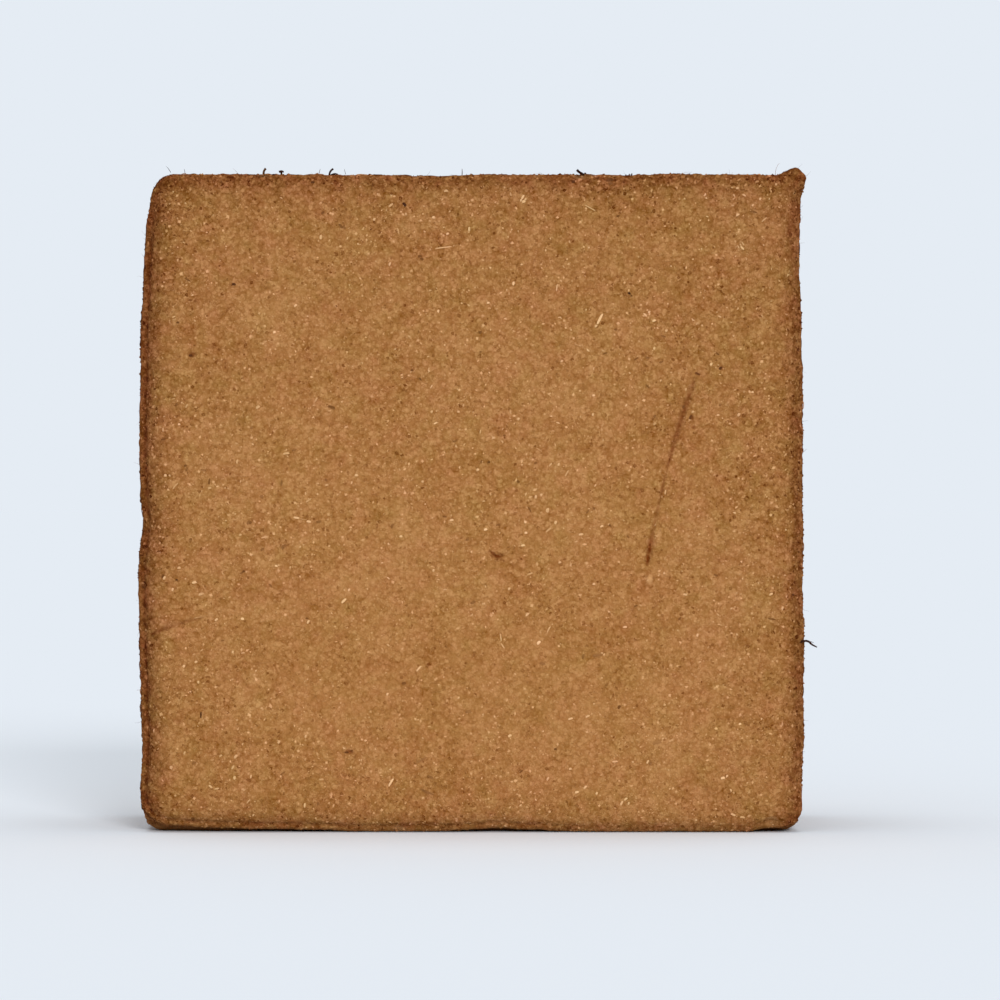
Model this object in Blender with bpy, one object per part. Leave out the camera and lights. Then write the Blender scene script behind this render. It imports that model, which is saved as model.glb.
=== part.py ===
"""A compressed coconut coir bale, standing on one of its narrow sides.

The bale is one block of coir pith and short fibre, pressed in a square mould. Its two
broad pressed faces lie across Y, with the front one towards -Y, and its pressing layers
run parallel to them. It stands on Z = 0 with its bounding box centred over the origin.

The block starts as a plain box that is cut at named distances from its edges. Each point
of the box is then pressed into place: shoulders and ledges round the broad faces, mould
corners, a pointed scrap of flash at the front's top right corner, the wander of the
edges, and the layers and seams of the narrow sides. Last, a scratch, a fold, dents and
chips are cut out of it.
"""

import math

import bmesh
import bpy
from mathutils import Matrix, Vector, noise

# Driving dimensions, in metres. Height leaves out the flash at the corner.
WIDTH = 0.3025
HEIGHT = 0.2990
THICKNESS = 0.1200

# The look of pressed coir: linear colour and roughness.
COIR_COLOUR = (0.38, 0.17, 0.056, 1.0)
COIR_ROUGHNESS = 0.95

# Distances from each edge at which the box is cut, and the cells across its middle.
EDGE_CUTS = (0.0015, 0.0028, 0.0036, 0.0056, 0.0100)
MIDDLE_CELLS = 20

# Depths behind each broad face at which the narrow sides are cut.
LIP_CUTS = (0.0100, 0.0150)

# Mould corner radii, seen from the front. The top right one is sharp under its flash.
TOP_LEFT_RADIUS = 0.0078
TOP_RIGHT_RADIUS = 0.0015
BOTTOM_LEFT_RADIUS = 0.0085
BOTTOM_RIGHT_RADIUS = 0.0100
REAR_RADIUS = 0.0080
SHARP_CORNER_DEPTH = 0.020

# How far each edge lies inside the box, as (place along the edge, inset). Heights are
# from the base and places across are from the left side.
LEFT_INSETS = (
    (0.018, 0.0009),
    (0.032, 0.0018),
    (0.060, 0.0013),
    (0.087, 0.0005),
    (0.115, 0.0000),
    (0.126, 0.0005),
    (0.140, 0.0022),
    (0.155, 0.0006),
    (0.178, 0.0005),
    (0.224, 0.0011),
    (0.252, 0.0023),
    (0.272, 0.0034),
    (0.288, 0.0054),
)
RIGHT_INSETS = (
    (0.020, 0.0006),
    (0.050, 0.0000),
    (0.190, 0.0004),
    (0.235, 0.0010),
    (0.264, 0.0022),
    (0.285, 0.0012),
)
BOTTOM_INSETS = (
    (0.018, 0.0020),
    (0.030, 0.0011),
    (0.075, 0.0010),
    (0.100, 0.0005),
    (0.135, 0.0006),
    (0.152, 0.0013),
    (0.163, 0.0022),
    (0.176, 0.0014),
    (0.200, 0.0003),
    (0.276, 0.0003),
    (0.288, 0.0014),
)
TOP_INSETS = (
    (0.020, 0.0000),
    (0.090, 0.0004),
    (0.135, 0.0009),
    (0.165, 0.0004),
    (0.285, 0.0002),
)
INSET_REACH = 0.050
EDGE_WANDER = 0.0003
WANDER_PITCH = 0.022
BASE_FADE = (0.0080, 0.0150)

# Shoulders that round the broad faces into the narrow sides: drop behind the face, and
# width. Where a ledge runs, the drop ends at a seam and the ledge lies outside it.
SHOULDERS = {
    "left": (0.0048, 0.0120),
    "right": (0.0060, 0.0140),
    "bottom": (0.0046, 0.0100),
    "top": (0.0034, 0.0080),
}
SHOULDER_POWER = 2.6
LEDGE_WIDTH = 0.0034
LEDGE_DEPTH = 0.0054
LEDGE_ROUNDING = 0.0014
SEAM_NOTCH = 0.0012
SEAM_REACH = 0.0010
REAR_LEDGE = 0.75

# Ledge strength round the front face, as (place along the edge, share).
LEFT_LEDGE = ((0.000, 1.0), (0.262, 1.0), (0.288, 0.25))
BOTTOM_LEDGE = ((0.000, 1.0), (0.170, 1.0), (0.215, 0.45), (0.280, 0.30))
SIDE_BLEND = 0.0060

# Narrow sides: how far the wall lies inside the ledges, the seams between layers, as
# (depth behind the front face, cut), and the steps from layer to layer and the lumps.
WALL_HOLLOW = 0.0009
WALL_HOLLOW_START = 0.0070
WALL_HOLLOW_RUN = 0.0080
LAYER_SEAMS = ((0.0270, 0.0013), (0.0480, 0.0018), (0.0740, 0.0012), (0.0950, 0.0016))
SEAM_HALF_WIDTH = 0.0012
SEAM_PATCH = 0.070
SEAM_WANDER = 0.0022
LAYER_STEP = 0.0011
LAYER_PATCH = 0.045
WALL_LUMPS = 0.0006
LUMP_PITCH = 0.017

# Scrap of flash at the front's top right corner: how far it rises and reaches out, the
# distances from the corner of its two points, and how far it runs.
FLASH_RISE = 0.0037
FLASH_REACH = 0.0026
FLASH_TOP_POINT = 0.0022
FLASH_SIDE_POINT = 0.0015
FLASH_RUN = 0.0105
FLASH_DEPTH = (0.0050, 0.0150)

# Scratch down the front face: its ends as (across, up), its bow to the left, and
# (share of its length, half width, depth).
SCRATCH_TOP = (0.2530, 0.2052)
SCRATCH_BOTTOM = (0.2322, 0.1216)
SCRATCH_BOW = 0.0020
SCRATCH_SECTIONS = (
    (0.00, 0.0003, 0.0002),
    (0.06, 0.0009, 0.0007),
    (0.30, 0.0010, 0.0008),
    (0.45, 0.0006, 0.0004),
    (0.60, 0.0005, 0.0003),
    (0.78, 0.0007, 0.0005),
    (0.90, 0.0012, 0.0010),
    (0.97, 0.0012, 0.0011),
    (1.00, 0.0004, 0.0003),
)

# Fold that runs in from the left side, as the scratch is given.
FOLD_OUTER_END = (0.0060, 0.0905)
FOLD_INNER_END = (0.0285, 0.0965)
FOLD_BOW = -0.0006
FOLD_SECTIONS = (
    (0.00, 0.0006, 0.0005),
    (0.35, 0.0008, 0.0006),
    (0.75, 0.0006, 0.0004),
    (1.00, 0.0002, 0.0002),
)

# Dents in the front face: across, up, half width, half height, depth.
FACE_DENTS = (
    (0.1620, 0.1272, 0.0032, 0.0017, 0.0009),
    (0.0955, 0.0360, 0.0022, 0.0016, 0.0007),
    (0.0235, 0.2170, 0.0017, 0.0015, 0.0007),
)

# Chips broken out of the edges: across, depth behind the front face, up, radius.
EDGE_CHIPS = (
    (0.1190, 0.0040, 0.0004, 0.0030),
    (0.0230, 0.0035, 0.0010, 0.0026),
    (0.2880, 0.0020, 0.0040, 0.0034),
    (0.0560, 0.0034, 0.2984, 0.0024),
    (0.2010, 0.0030, 0.2984, 0.0026),
    (0.0010, 0.0300, 0.2200, 0.0038),
    (0.3020, 0.0760, 0.1180, 0.0042),
    (0.3005, 0.1160, 0.2050, 0.0040),
    (0.0900, 0.1180, 0.2980, 0.0044),
    (0.2400, 0.1190, 0.0020, 0.0036),
    (0.0012, 0.1150, 0.0750, 0.0038),
)
CHIP_FLATTENING = 0.62
CHIP_ROUGHNESS = 0.28

# A point this near a broad face's plane lies on it, and facets turned from it or from the
# base by less than the flat angle become one.
ON_FACE = 1e-6
FLAT_ANGLE = math.radians(0.02)
SHARP_ANGLE = math.radians(38.0)


def smooth(value):
    """Smooth step from 0 to 1 as the value goes from 0 to 1."""
    value = min(max(value, 0.0), 1.0)
    return value * value * (3.0 - 2.0 * value)


def eased(points, place):
    """Height of the smooth line through (place, height) points, level past its ends."""
    for (start, low), (end, high) in zip(points, points[1:]):
        if place < end:
            return low + (high - low) * smooth((place - start) / (end - start))
    return points[-1][1]


def tent(value, low, peak, high):
    """Straight rise from 0 at low to 1 at peak, and back to 0 at high."""
    if value < peak:
        return max(0.0, (value - low) / (peak - low))
    return max(0.0, (high - value) / (high - peak))


def patchy(place, pitch, seed):
    """Smooth wander between about -1 and 1, with patches of the given pitch."""
    return 1.6 * noise.noise(Vector(place) / pitch + Vector((seed, 2.0 * seed, 0.0)))


def edge_gaps(across, up):
    """Distance from a point of the outline's box to each of its four edges."""
    return {
        "left": across,
        "right": WIDTH - across,
        "bottom": up,
        "top": HEIGHT - up,
    }


def side_shares(gaps):
    """How much each side counts at a point, as shares that add up to 1."""
    closeness = {side: math.exp(-gap / SIDE_BLEND) for side, gap in gaps.items()}
    whole = sum(closeness.values())
    return {side: value / whole for side, value in closeness.items()}


def corner_radius(gaps, depth):
    """Radius of the mould corner nearest to a point, at its depth."""
    left = gaps["left"] < gaps["right"]
    bottom = gaps["bottom"] < gaps["top"]
    if bottom:
        front = BOTTOM_LEFT_RADIUS if left else BOTTOM_RIGHT_RADIUS
    else:
        front = TOP_LEFT_RADIUS if left else TOP_RIGHT_RADIUS
    return front + (REAR_RADIUS - front) * smooth(depth / SHARP_CORNER_DEPTH)


def round_corner(across, up, depth):
    """Moves a point of the square outline to the rounded one.

    Returns its new place across and up, and the outward direction there."""
    gaps = edge_gaps(across, up)
    sideways = -1.0 if gaps["left"] < gaps["right"] else 1.0
    upwards = -1.0 if gaps["bottom"] < gaps["top"] else 1.0
    side_gap = min(gaps["left"], gaps["right"])
    level_gap = min(gaps["bottom"], gaps["top"])
    radius = corner_radius(gaps, depth)
    if side_gap >= radius or level_gap >= radius:
        if side_gap < level_gap:
            return across, up, Vector((sideways, 0.0, 0.0))
        return across, up, Vector((0.0, 0.0, upwards))
    out = Vector((sideways * (radius - side_gap), 0.0, upwards * (radius - level_gap)))
    reach = max(radius - side_gap, radius - level_gap)
    moved = out.normalized() * reach - out
    return across + moved.x, up + moved.z, out.normalized()


def edge_inset(side, across, up, depth):
    """How far one edge lies inside the box at a point's place and depth."""
    from_face = min(depth, THICKNESS - depth)
    if side == "bottom":
        wander = EDGE_WANDER * abs(patchy((across, depth, 0.0), WANDER_PITCH, 1.5))
        start, end = BASE_FADE
        return (eased(BOTTOM_INSETS, across) + wander) * (
            1.0 - smooth((from_face - start) / (end - start))
        )
    points, place, seed = {
        "left": (LEFT_INSETS, up, 2.5),
        "right": (RIGHT_INSETS, up, 3.5),
        "top": (TOP_INSETS, across, 4.5),
    }[side]
    wander = EDGE_WANDER * patchy((place, depth, 0.0), WANDER_PITCH, seed)
    return eased(points, place) * (1.0 - 0.5 * smooth(depth / THICKNESS)) + wander


def follow_edges(across, up, depth):
    """Shift across and up that fits a point to the wandering edges."""
    shift = Vector((0.0, 0.0, 0.0))
    inward = {
        "left": Vector((1.0, 0.0, 0.0)),
        "right": Vector((-1.0, 0.0, 0.0)),
        "bottom": Vector((0.0, 0.0, 1.0)),
        "top": Vector((0.0, 0.0, -1.0)),
    }
    for side, gap in edge_gaps(across, up).items():
        if gap < INSET_REACH:
            share = 1.0 - smooth(gap / INSET_REACH)
            shift += inward[side] * edge_inset(side, across, up, depth) * share
    return shift


def ledge_share(shares, across, up, front):
    """How strongly a ledge runs along the edges that are near a point."""
    if not front:
        return REAR_LEDGE
    return shares["left"] * eased(LEFT_LEDGE, up) + shares["bottom"] * eased(
        BOTTOM_LEDGE, across
    )


def plain_shoulder(shares, gap):
    """Drop of a shoulder with no ledge, at a distance from the outline."""
    drop = sum(share * SHOULDERS[side][0] for side, share in shares.items())
    width = sum(share * SHOULDERS[side][1] for side, share in shares.items())
    return drop * max(0.0, 1.0 - gap / width) ** SHOULDER_POWER


def ledge_and_shoulder(shares, gap):
    """Drop of a shoulder that ends at a seam with a ledge outside it."""
    notch = SEAM_NOTCH * max(0.0, 1.0 - abs(gap - LEDGE_WIDTH) / SEAM_REACH)
    if gap > LEDGE_WIDTH:
        return plain_shoulder(shares, gap - LEDGE_WIDTH) + notch
    rounding = LEDGE_ROUNDING * max(0.0, 1.0 - gap / LEDGE_ROUNDING) ** 2
    return LEDGE_DEPTH + rounding + notch


def flash_share(gaps):
    """1 in the scrap of flash at the top right corner, down to 0 round it."""
    return (1.0 - smooth(gaps["right"] / FLASH_RUN)) * (1.0 - smooth(gaps["top"] / FLASH_RUN))


def face_drop(across, up, front):
    """How far the broad face lies behind its plane at a point."""
    gaps = edge_gaps(across, up)
    gap = min(gaps.values())
    shares = side_shares(gaps)
    ledge = ledge_share(shares, across, up, front)
    plain = plain_shoulder(shares, gap)
    drop = plain
    if ledge > 0.0 and gap < LEDGE_WIDTH + SHOULDERS["right"][1]:
        drop += (ledge_and_shoulder(shares, gap) - plain) * ledge
    if front:
        drop *= 1.0 - 0.75 * flash_share(gaps)
    return drop


def flash_pull(gaps, depth):
    """Shift that pulls the top right corner out to its two points of flash."""
    near, far = FLASH_DEPTH
    thin = 1.0 - smooth((depth - near) / (far - near))
    rise = tent(gaps["right"], -FLASH_TOP_POINT, FLASH_TOP_POINT, FLASH_RUN)
    reach = tent(gaps["top"], -FLASH_SIDE_POINT, FLASH_SIDE_POINT, FLASH_RUN)
    rise *= max(0.0, 1.0 - gaps["top"] / FLASH_RUN)
    reach *= max(0.0, 1.0 - gaps["right"] / FLASH_RUN)
    return Vector((FLASH_REACH * reach, 0.0, FLASH_RISE * rise)) * thin


def layer_inset(across, up, depth):
    """How far the layer at a depth lies back from the foremost one."""
    layers = len(LAYER_SEAMS) + 1
    place = (across, 0.0, up)
    heights = [0.5 + 0.5 * patchy(place, LAYER_PATCH, 11.0 + 5.0 * i) for i in range(layers)]
    inset = heights[0]
    for index, (seam, cut) in enumerate(LAYER_SEAMS):
        behind = 0.5 + 0.5 * (depth - seam) / SEAM_HALF_WIDTH
        inset += (heights[index + 1] - heights[index]) * smooth(behind)
    return LAYER_STEP * inset


def wall_inset(across, up, depth):
    """How far a narrow side lies inside the outline: its hollow, layers, lumps and seams."""
    above_base = 1.0 - side_shares(edge_gaps(across, up))["bottom"]
    from_face = min(depth, THICKNESS - depth)
    inside = smooth((from_face - WALL_HOLLOW_START) / WALL_HOLLOW_RUN)
    lumps = WALL_LUMPS * patchy((across, depth, up), LUMP_PITCH, 5.5)
    inset = (WALL_HOLLOW + layer_inset(across, up, depth) + lumps) * inside * above_base
    for index, (seam, cut) in enumerate(LAYER_SEAMS):
        reach = max(0.0, 1.0 - abs(depth - seam) / SEAM_HALF_WIDTH)
        open_share = smooth(0.55 + patchy((across, 0.0, up), SEAM_PATCH, 31.0 + 7.0 * index))
        inset += cut * reach * open_share
    return inset


def press_point(nominal):
    """Place in the pressed block of a point of the plain box."""
    across = nominal.x + WIDTH / 2.0
    depth = nominal.y + THICKNESS / 2.0
    up = nominal.z
    gaps = edge_gaps(across, up)
    from_face = min(depth, THICKNESS - depth)
    front = depth < THICKNESS / 2.0
    place_across, place_up, outward = round_corner(across, up, depth)
    moved = Vector((place_across - WIDTH / 2.0, nominal.y, place_up))
    moved += follow_edges(across, up, depth)
    moved += flash_pull(gaps, depth)
    if from_face > ON_FACE:
        moved -= outward * wall_inset(across, up, depth)
        moved.y += SEAM_WANDER * patchy((across, 0.0, up), LAYER_PATCH, 23.5) * smooth(
            (from_face - WALL_HOLLOW_START) / WALL_HOLLOW_RUN
        )
    else:
        moved.y += face_drop(across, up, front) * (1.0 if front else -1.0)
    return moved


def cut_across(block, direction, places):
    """Cuts the whole mesh across a direction at each of the places along it."""
    for place in places:
        bmesh.ops.bisect_plane(
            block,
            geom=block.verts[:] + block.edges[:] + block.faces[:],
            plane_co=direction * place,
            plane_no=direction,
        )


def cuts_along(length):
    """Places of the cuts across one side of the outline, from one end to the other."""
    inner = length - 2.0 * EDGE_CUTS[-1]
    middle = [EDGE_CUTS[-1] + inner * i / MIDDLE_CELLS for i in range(1, MIDDLE_CELLS)]
    return [*EDGE_CUTS, *middle, *(length - cut for cut in reversed(EDGE_CUTS))]


def cuts_through():
    """Depths of the cuts round the narrow sides, from the front face to the rear one."""
    seams = [
        place + offset
        for place, cut in LAYER_SEAMS
        for offset in (-SEAM_HALF_WIDTH, 0.0, SEAM_HALF_WIDTH)
    ]
    return [*LIP_CUTS, *seams, *(THICKNESS - cut for cut in reversed(LIP_CUTS))]


def merge_flat_facets(block):
    """Merges the facets of the broad faces and of the base that lie in one plane."""
    block.normal_update()
    ways = (Vector((0, -1, 0)), Vector((0, 1, 0)), Vector((0, 0, -1)))
    for way in ways:
        flat = {face for face in block.faces if face.normal.angle(way) < FLAT_ANGLE}
        edges = [edge for edge in block.edges if flat.issuperset(edge.link_faces)]
        verts = [vertex for vertex in block.verts if flat.issuperset(vertex.link_faces)]
        bmesh.ops.dissolve_limit(block, angle_limit=FLAT_ANGLE, verts=verts, edges=edges)


def press_block():
    """The pressed block, before the scratch, fold, dents and chips, as a bmesh."""
    block = bmesh.new()
    box = Matrix.Diagonal((WIDTH, THICKNESS, HEIGHT, 1.0))
    bmesh.ops.create_cube(
        block, size=1.0, matrix=Matrix.Translation((0.0, 0.0, HEIGHT / 2.0)) @ box
    )
    cut_across(block, Vector((1, 0, 0)), [cut - WIDTH / 2.0 for cut in cuts_along(WIDTH)])
    cut_across(block, Vector((0, 0, 1)), cuts_along(HEIGHT))
    cut_across(block, Vector((0, 1, 0)), [cut - THICKNESS / 2.0 for cut in cuts_through()])
    for vertex in block.verts:
        vertex.co = press_point(vertex.co)
    merge_flat_facets(block)
    return block


def swept_groove(cutter, start, end, bow, sections):
    """Adds a groove cutter along a bowed line on the front face.

    The line runs from start to end, both (across, up), and bows to the left by bow. Each
    section is (share of the length, half width, depth), and is a diamond whose middle
    lies on the face."""
    start, end = Vector((start[0], 0.0, start[1])), Vector((end[0], 0.0, end[1]))
    run = (end - start).normalized()
    beside = Vector((-run.z, 0.0, run.x))
    left = beside if beside.x < 0.0 else -beside
    face = Vector((-WIDTH / 2.0, -THICKNESS / 2.0, 0.0))
    rings = []
    for share, half_width, depth in sections:
        middle = face + start.lerp(end, share) + left * bow * 4.0 * share * (1.0 - share)
        place = Matrix.Translation(middle)
        turn = Matrix((beside, (0.0, 1.0, 0.0), run)).transposed().to_4x4()
        shape = Matrix.Diagonal((half_width, depth, 1.0, 1.0))
        ring = bmesh.ops.create_circle(
            cutter, cap_ends=False, radius=1.0, segments=4, matrix=place @ turn @ shape
        )["verts"]
        rings.append(ring)
    for before, after in zip(rings, rings[1:]):
        between = {edge for vertex in (*before, *after) for edge in vertex.link_edges}
        loops = [
            edge
            for edge in between
            if set(edge.verts) <= set(before) or set(edge.verts) <= set(after)
        ]
        bmesh.ops.bridge_loops(cutter, edges=loops)
    for ring in (rings[0], rings[-1]):
        bmesh.ops.contextual_create(cutter, geom=ring)


def add_pebble(cutter, centre, half_sizes):
    """Adds a rough pebble with about the given half sizes as a cutter."""
    pebble = bmesh.ops.create_icosphere(cutter, subdivisions=2, radius=1.0)["verts"]
    for vertex in pebble:
        vertex.co *= 1.0 + CHIP_ROUGHNESS * patchy(vertex.co, 0.8, centre.x + centre.z)
    place = Matrix.Translation(centre) @ Matrix.Diagonal((*half_sizes, 1.0))
    bmesh.ops.transform(cutter, matrix=place, verts=pebble)


def hidden_cutter(name, shape):
    """Makes a bmesh into a cutter object that isn't part of the bale."""
    bmesh.ops.recalc_face_normals(shape, faces=shape.faces[:])
    mesh = bpy.data.meshes.new(name)
    shape.to_mesh(mesh)
    shape.free()
    cutter = bpy.data.objects.new(name, mesh)
    cutter.hide_render = True
    cutter.display_type = "WIRE"
    bpy.context.collection.objects.link(cutter)
    return cutter


def groove_cutter():
    """Cutter for the scratch and the fold."""
    shape = bmesh.new()
    swept_groove(shape, SCRATCH_TOP, SCRATCH_BOTTOM, SCRATCH_BOW, SCRATCH_SECTIONS)
    swept_groove(shape, FOLD_OUTER_END, FOLD_INNER_END, FOLD_BOW, FOLD_SECTIONS)
    return hidden_cutter("groove_cutter", shape)


def chip_cutter():
    """Cutter for the dents of the front face and the chips of the edges."""
    shape = bmesh.new()
    for across, up, half_width, half_height, depth in FACE_DENTS:
        centre = Vector((across - WIDTH / 2.0, -THICKNESS / 2.0, up))
        add_pebble(shape, centre, (half_width, depth, half_height))
    for across, depth, up, radius in EDGE_CHIPS:
        centre = Vector((across - WIDTH / 2.0, depth - THICKNESS / 2.0, up))
        add_pebble(shape, centre, (radius, radius * CHIP_FLATTENING, radius))
    return hidden_cutter("chip_cutter", shape)


def coir_material():
    """Dry pressed coir, plain brown and matt."""
    material = bpy.data.materials.new("pressed_coir")
    material.use_nodes = True
    surface = material.node_tree.nodes["Principled BSDF"]
    surface.inputs["Base Color"].default_value = COIR_COLOUR
    surface.inputs["Roughness"].default_value = COIR_ROUGHNESS
    surface.inputs["Metallic"].default_value = 0.0
    return material


def centre_over_origin(block):
    """Moves the block so that its box is centred over the origin, and gives the move."""
    lows = [min(vertex.co[axis] for vertex in block.verts) for axis in range(3)]
    highs = [max(vertex.co[axis] for vertex in block.verts) for axis in range(3)]
    move = Vector((-(lows[0] + highs[0]) / 2.0, -(lows[1] + highs[1]) / 2.0, -lows[2]))
    bmesh.ops.translate(block, vec=move, verts=block.verts[:])
    return move


def make_bale():
    """Makes the bale: the pressed block with its grooves, dents and chips cut out."""
    block = press_block()
    move = centre_over_origin(block)
    mesh = bpy.data.meshes.new("coir_bale")
    block.to_mesh(mesh)
    block.free()
    mesh.shade_smooth()
    mesh.set_sharp_from_angle(angle=SHARP_ANGLE)
    mesh.materials.append(coir_material())
    bale = bpy.data.objects.new("coir_bale", mesh)
    bpy.context.collection.objects.link(bale)
    for cutter in (groove_cutter(), chip_cutter()):
        cutter.location = move
        cut = bale.modifiers.new(cutter.name, "BOOLEAN")
        cut.operation = "DIFFERENCE"
        cut.solver = "EXACT"
        cut.object = cutter
    return bale


for startup_object in list(bpy.data.objects):
    bpy.data.objects.remove(startup_object)
make_bale()
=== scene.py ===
"""Dresses a pressed coconut coir bale: its granular skin, loose pith, fibres and hairs.

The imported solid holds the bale's size and its main forms. Here those forms are pressed
into a much finer block, the skin, which stands for the solid. Crumbs of pith, flecks of
fibre and stray hairs are then laid on the skin as joined meshes.

All sizes are in metres. A place on the bale is given as across, from its left side as the
front face is looked at, as depth behind the front face, and as up from its base.
"""

import logging
import math
from abc import ABC, abstractmethod
from dataclasses import dataclass, field
from enum import Enum, IntEnum

import bmesh
import bpy
import numpy as np
from mathutils import Matrix, Vector, noise
from mathutils.bvhtree import BVHTree


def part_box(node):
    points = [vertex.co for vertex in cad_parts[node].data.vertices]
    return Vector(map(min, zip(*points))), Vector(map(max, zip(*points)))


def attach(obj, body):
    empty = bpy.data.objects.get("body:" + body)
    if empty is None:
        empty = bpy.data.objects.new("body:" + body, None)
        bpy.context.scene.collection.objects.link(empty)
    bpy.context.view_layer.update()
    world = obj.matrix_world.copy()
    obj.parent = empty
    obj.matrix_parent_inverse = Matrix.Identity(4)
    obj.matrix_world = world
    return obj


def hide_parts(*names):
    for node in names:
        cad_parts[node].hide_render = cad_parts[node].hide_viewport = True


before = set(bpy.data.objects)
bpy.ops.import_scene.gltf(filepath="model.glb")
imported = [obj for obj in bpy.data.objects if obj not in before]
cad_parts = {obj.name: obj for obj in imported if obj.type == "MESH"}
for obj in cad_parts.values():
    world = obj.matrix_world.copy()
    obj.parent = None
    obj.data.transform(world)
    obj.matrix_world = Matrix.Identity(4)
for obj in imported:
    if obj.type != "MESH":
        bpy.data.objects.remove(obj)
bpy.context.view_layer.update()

Array = np.ndarray
Span = tuple[float, float]
Profile = tuple[Span, ...]
Colour = tuple[float, float, float, float]
Socket = bpy.types.NodeSocket
Feed = float | tuple | Socket

NODE = "coir_bale"
TINTS = ("rim", "crevice", "side")
BAKE_MAP = "OFBake"
TILE_FILL = 0.42
ON_FACE = 1e-6
OFF_FLOOR = 1e-4
LEAST_LENGTH = 1e-12
NOISE_GAIN = 1.6
DARKER_POWER = 1.6
PALER_POWER = 4.5
WHITE = (1.0, 1.0, 1.0, 1.0)

log = logging.getLogger("coir bale")


class Side(IntEnum):
    """The four narrow sides, in the order of every array that holds one row for each."""

    LEFT = 0
    RIGHT = 1
    BOTTOM = 2
    TOP = 3


class Region(Enum):
    """The parts of the skin that small things are laid on."""

    FRONT = "front"
    REAR = "rear"
    SIDES = "sides"


class Speck(Enum):
    """The small shapes that are copied over the skin."""

    CRUMB = "crumb"
    FLECK = "fleck"
    FIBRE = "fibre"
    HAIR = "hair"


JOINTS = {Speck.FLECK: 1, Speck.FIBRE: 4, Speck.HAIR: 6}
PLACE_DIGITS = 6
ALONG_AXIS = 0.9


def linear(red: int, green: int, blue: int) -> Colour:
    """Turns a screen colour into a linear one.

    Args:
        red: Red from 0 to 255.
        green: Green from 0 to 255.
        blue: Blue from 0 to 255.

    Returns:
        The colour as linear red, green, blue and an alpha of 1.
    """
    parts = [part / 255.0 for part in (red, green, blue)]
    lit = [p / 12.92 if p <= 0.04045 else ((p + 0.055) / 1.055) ** 2.4 for p in parts]
    return (*lit, 1.0)


def smooth(value: Array) -> Array:
    """Smooth step from 0 to 1 as the value goes from 0 to 1."""
    value = np.clip(value, 0.0, 1.0)
    return value * value * (3.0 - 2.0 * value)


def fading(value: Array) -> Array:
    """Straight fall from 1, where the value is 0, to 0, where it is 1 or more."""
    return np.clip(1.0 - value, 0.0, None)


def eased(points: Profile, places: Array) -> Array:
    """Reads a smooth line, level past its ends.

    Args:
        points: The line's points as (place, height), in the order of their places.
        places: Where to read it.

    Returns:
        Its height at each place.
    """
    stops, heights = np.array(points).T
    index = np.clip(np.searchsorted(stops, places, side="right") - 1, 0, len(stops) - 2)
    share = smooth((places - stops[index]) / (stops[index + 1] - stops[index]))
    return heights[index] + (heights[index + 1] - heights[index]) * share


def tent(value: Array, low: float, peak: float, high: float) -> Array:
    """Reads a line that rises from 0 to 1 and falls back to 0.

    Args:
        value: Where to read it.
        low: Where its rise starts.
        peak: Where it is 1.
        high: Where its fall ends.

    Returns:
        Its height at each place.
    """
    rise = (value - low) / (peak - low)
    fall = (high - value) / (high - peak)
    return np.clip(np.minimum(rise, fall), 0.0, None)


def rows(*columns: Array | float) -> Array:
    """Points with the given columns, one in each row."""
    return np.stack(np.broadcast_arrays(*columns), axis=-1).astype(float)


def unit(directions: Array) -> Array:
    """The directions, one in each row, at a length of 1."""
    lengths = np.linalg.norm(directions, axis=-1, keepdims=True)
    return directions / np.maximum(lengths, LEAST_LENGTH)


def uneven_tones(rng: np.random.Generator, span: Span, count: int) -> Array:
    """Draws tones about 0.5: many a little darker, and a few that are much paler.

    Args:
        rng: Source of the random draws.
        span: The darkest and the palest tone.
        count: How many tones.

    Returns:
        The tones.
    """
    wild = rng.uniform(-1.0, 1.0, count)
    reach = np.where(wild < 0.0, 0.5 - span[0], span[1] - 0.5)
    power = np.where(wild < 0.0, DARKER_POWER, PALER_POWER)
    return 0.5 + reach * np.sign(wild) * np.abs(wild) ** power


@dataclass(frozen=True)
class Wander:
    """A smooth random wander: how far it goes, the size of its patches, and its seed."""

    reach: float
    pitch: float
    seed: float

    def over(self, places: Array) -> Array:
        """Reads the wander.

        Args:
            places: Points, one in each row.

        Returns:
            How far it goes to either side of 0 at each point.
        """
        shifted = places / self.pitch + np.array((self.seed, 2.0 * self.seed, 0.0))
        found = np.fromiter(map(noise.noise, shifted.tolist()), float, len(shifted))
        return self.reach * (NOISE_GAIN * found)


@dataclass(frozen=True)
class BoxPlaces:
    """Points of the plain box that is pressed into the bale, and how they lie to its sides.

    Gaps are the distances to the four narrow sides and shares are how much each of them
    counts, both with one row for each side. From_face is the distance to the nearer broad
    face, and front is true in the front half.
    """

    across: Array
    depth: Array
    up: Array
    gaps: Array
    shares: Array
    from_face: Array
    front: Array

    def points(self) -> Array:
        """The points, as rows of (across, depth, up)."""
        return rows(self.across, self.depth, self.up)

    def flat(self) -> Array:
        """The points brought to the front face, as rows of (across, 0, up)."""
        return rows(self.across, 0.0, self.up)

    def edge_gap(self) -> Array:
        """Distances to the nearest narrow side."""
        return self.gaps.min(axis=0)


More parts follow.
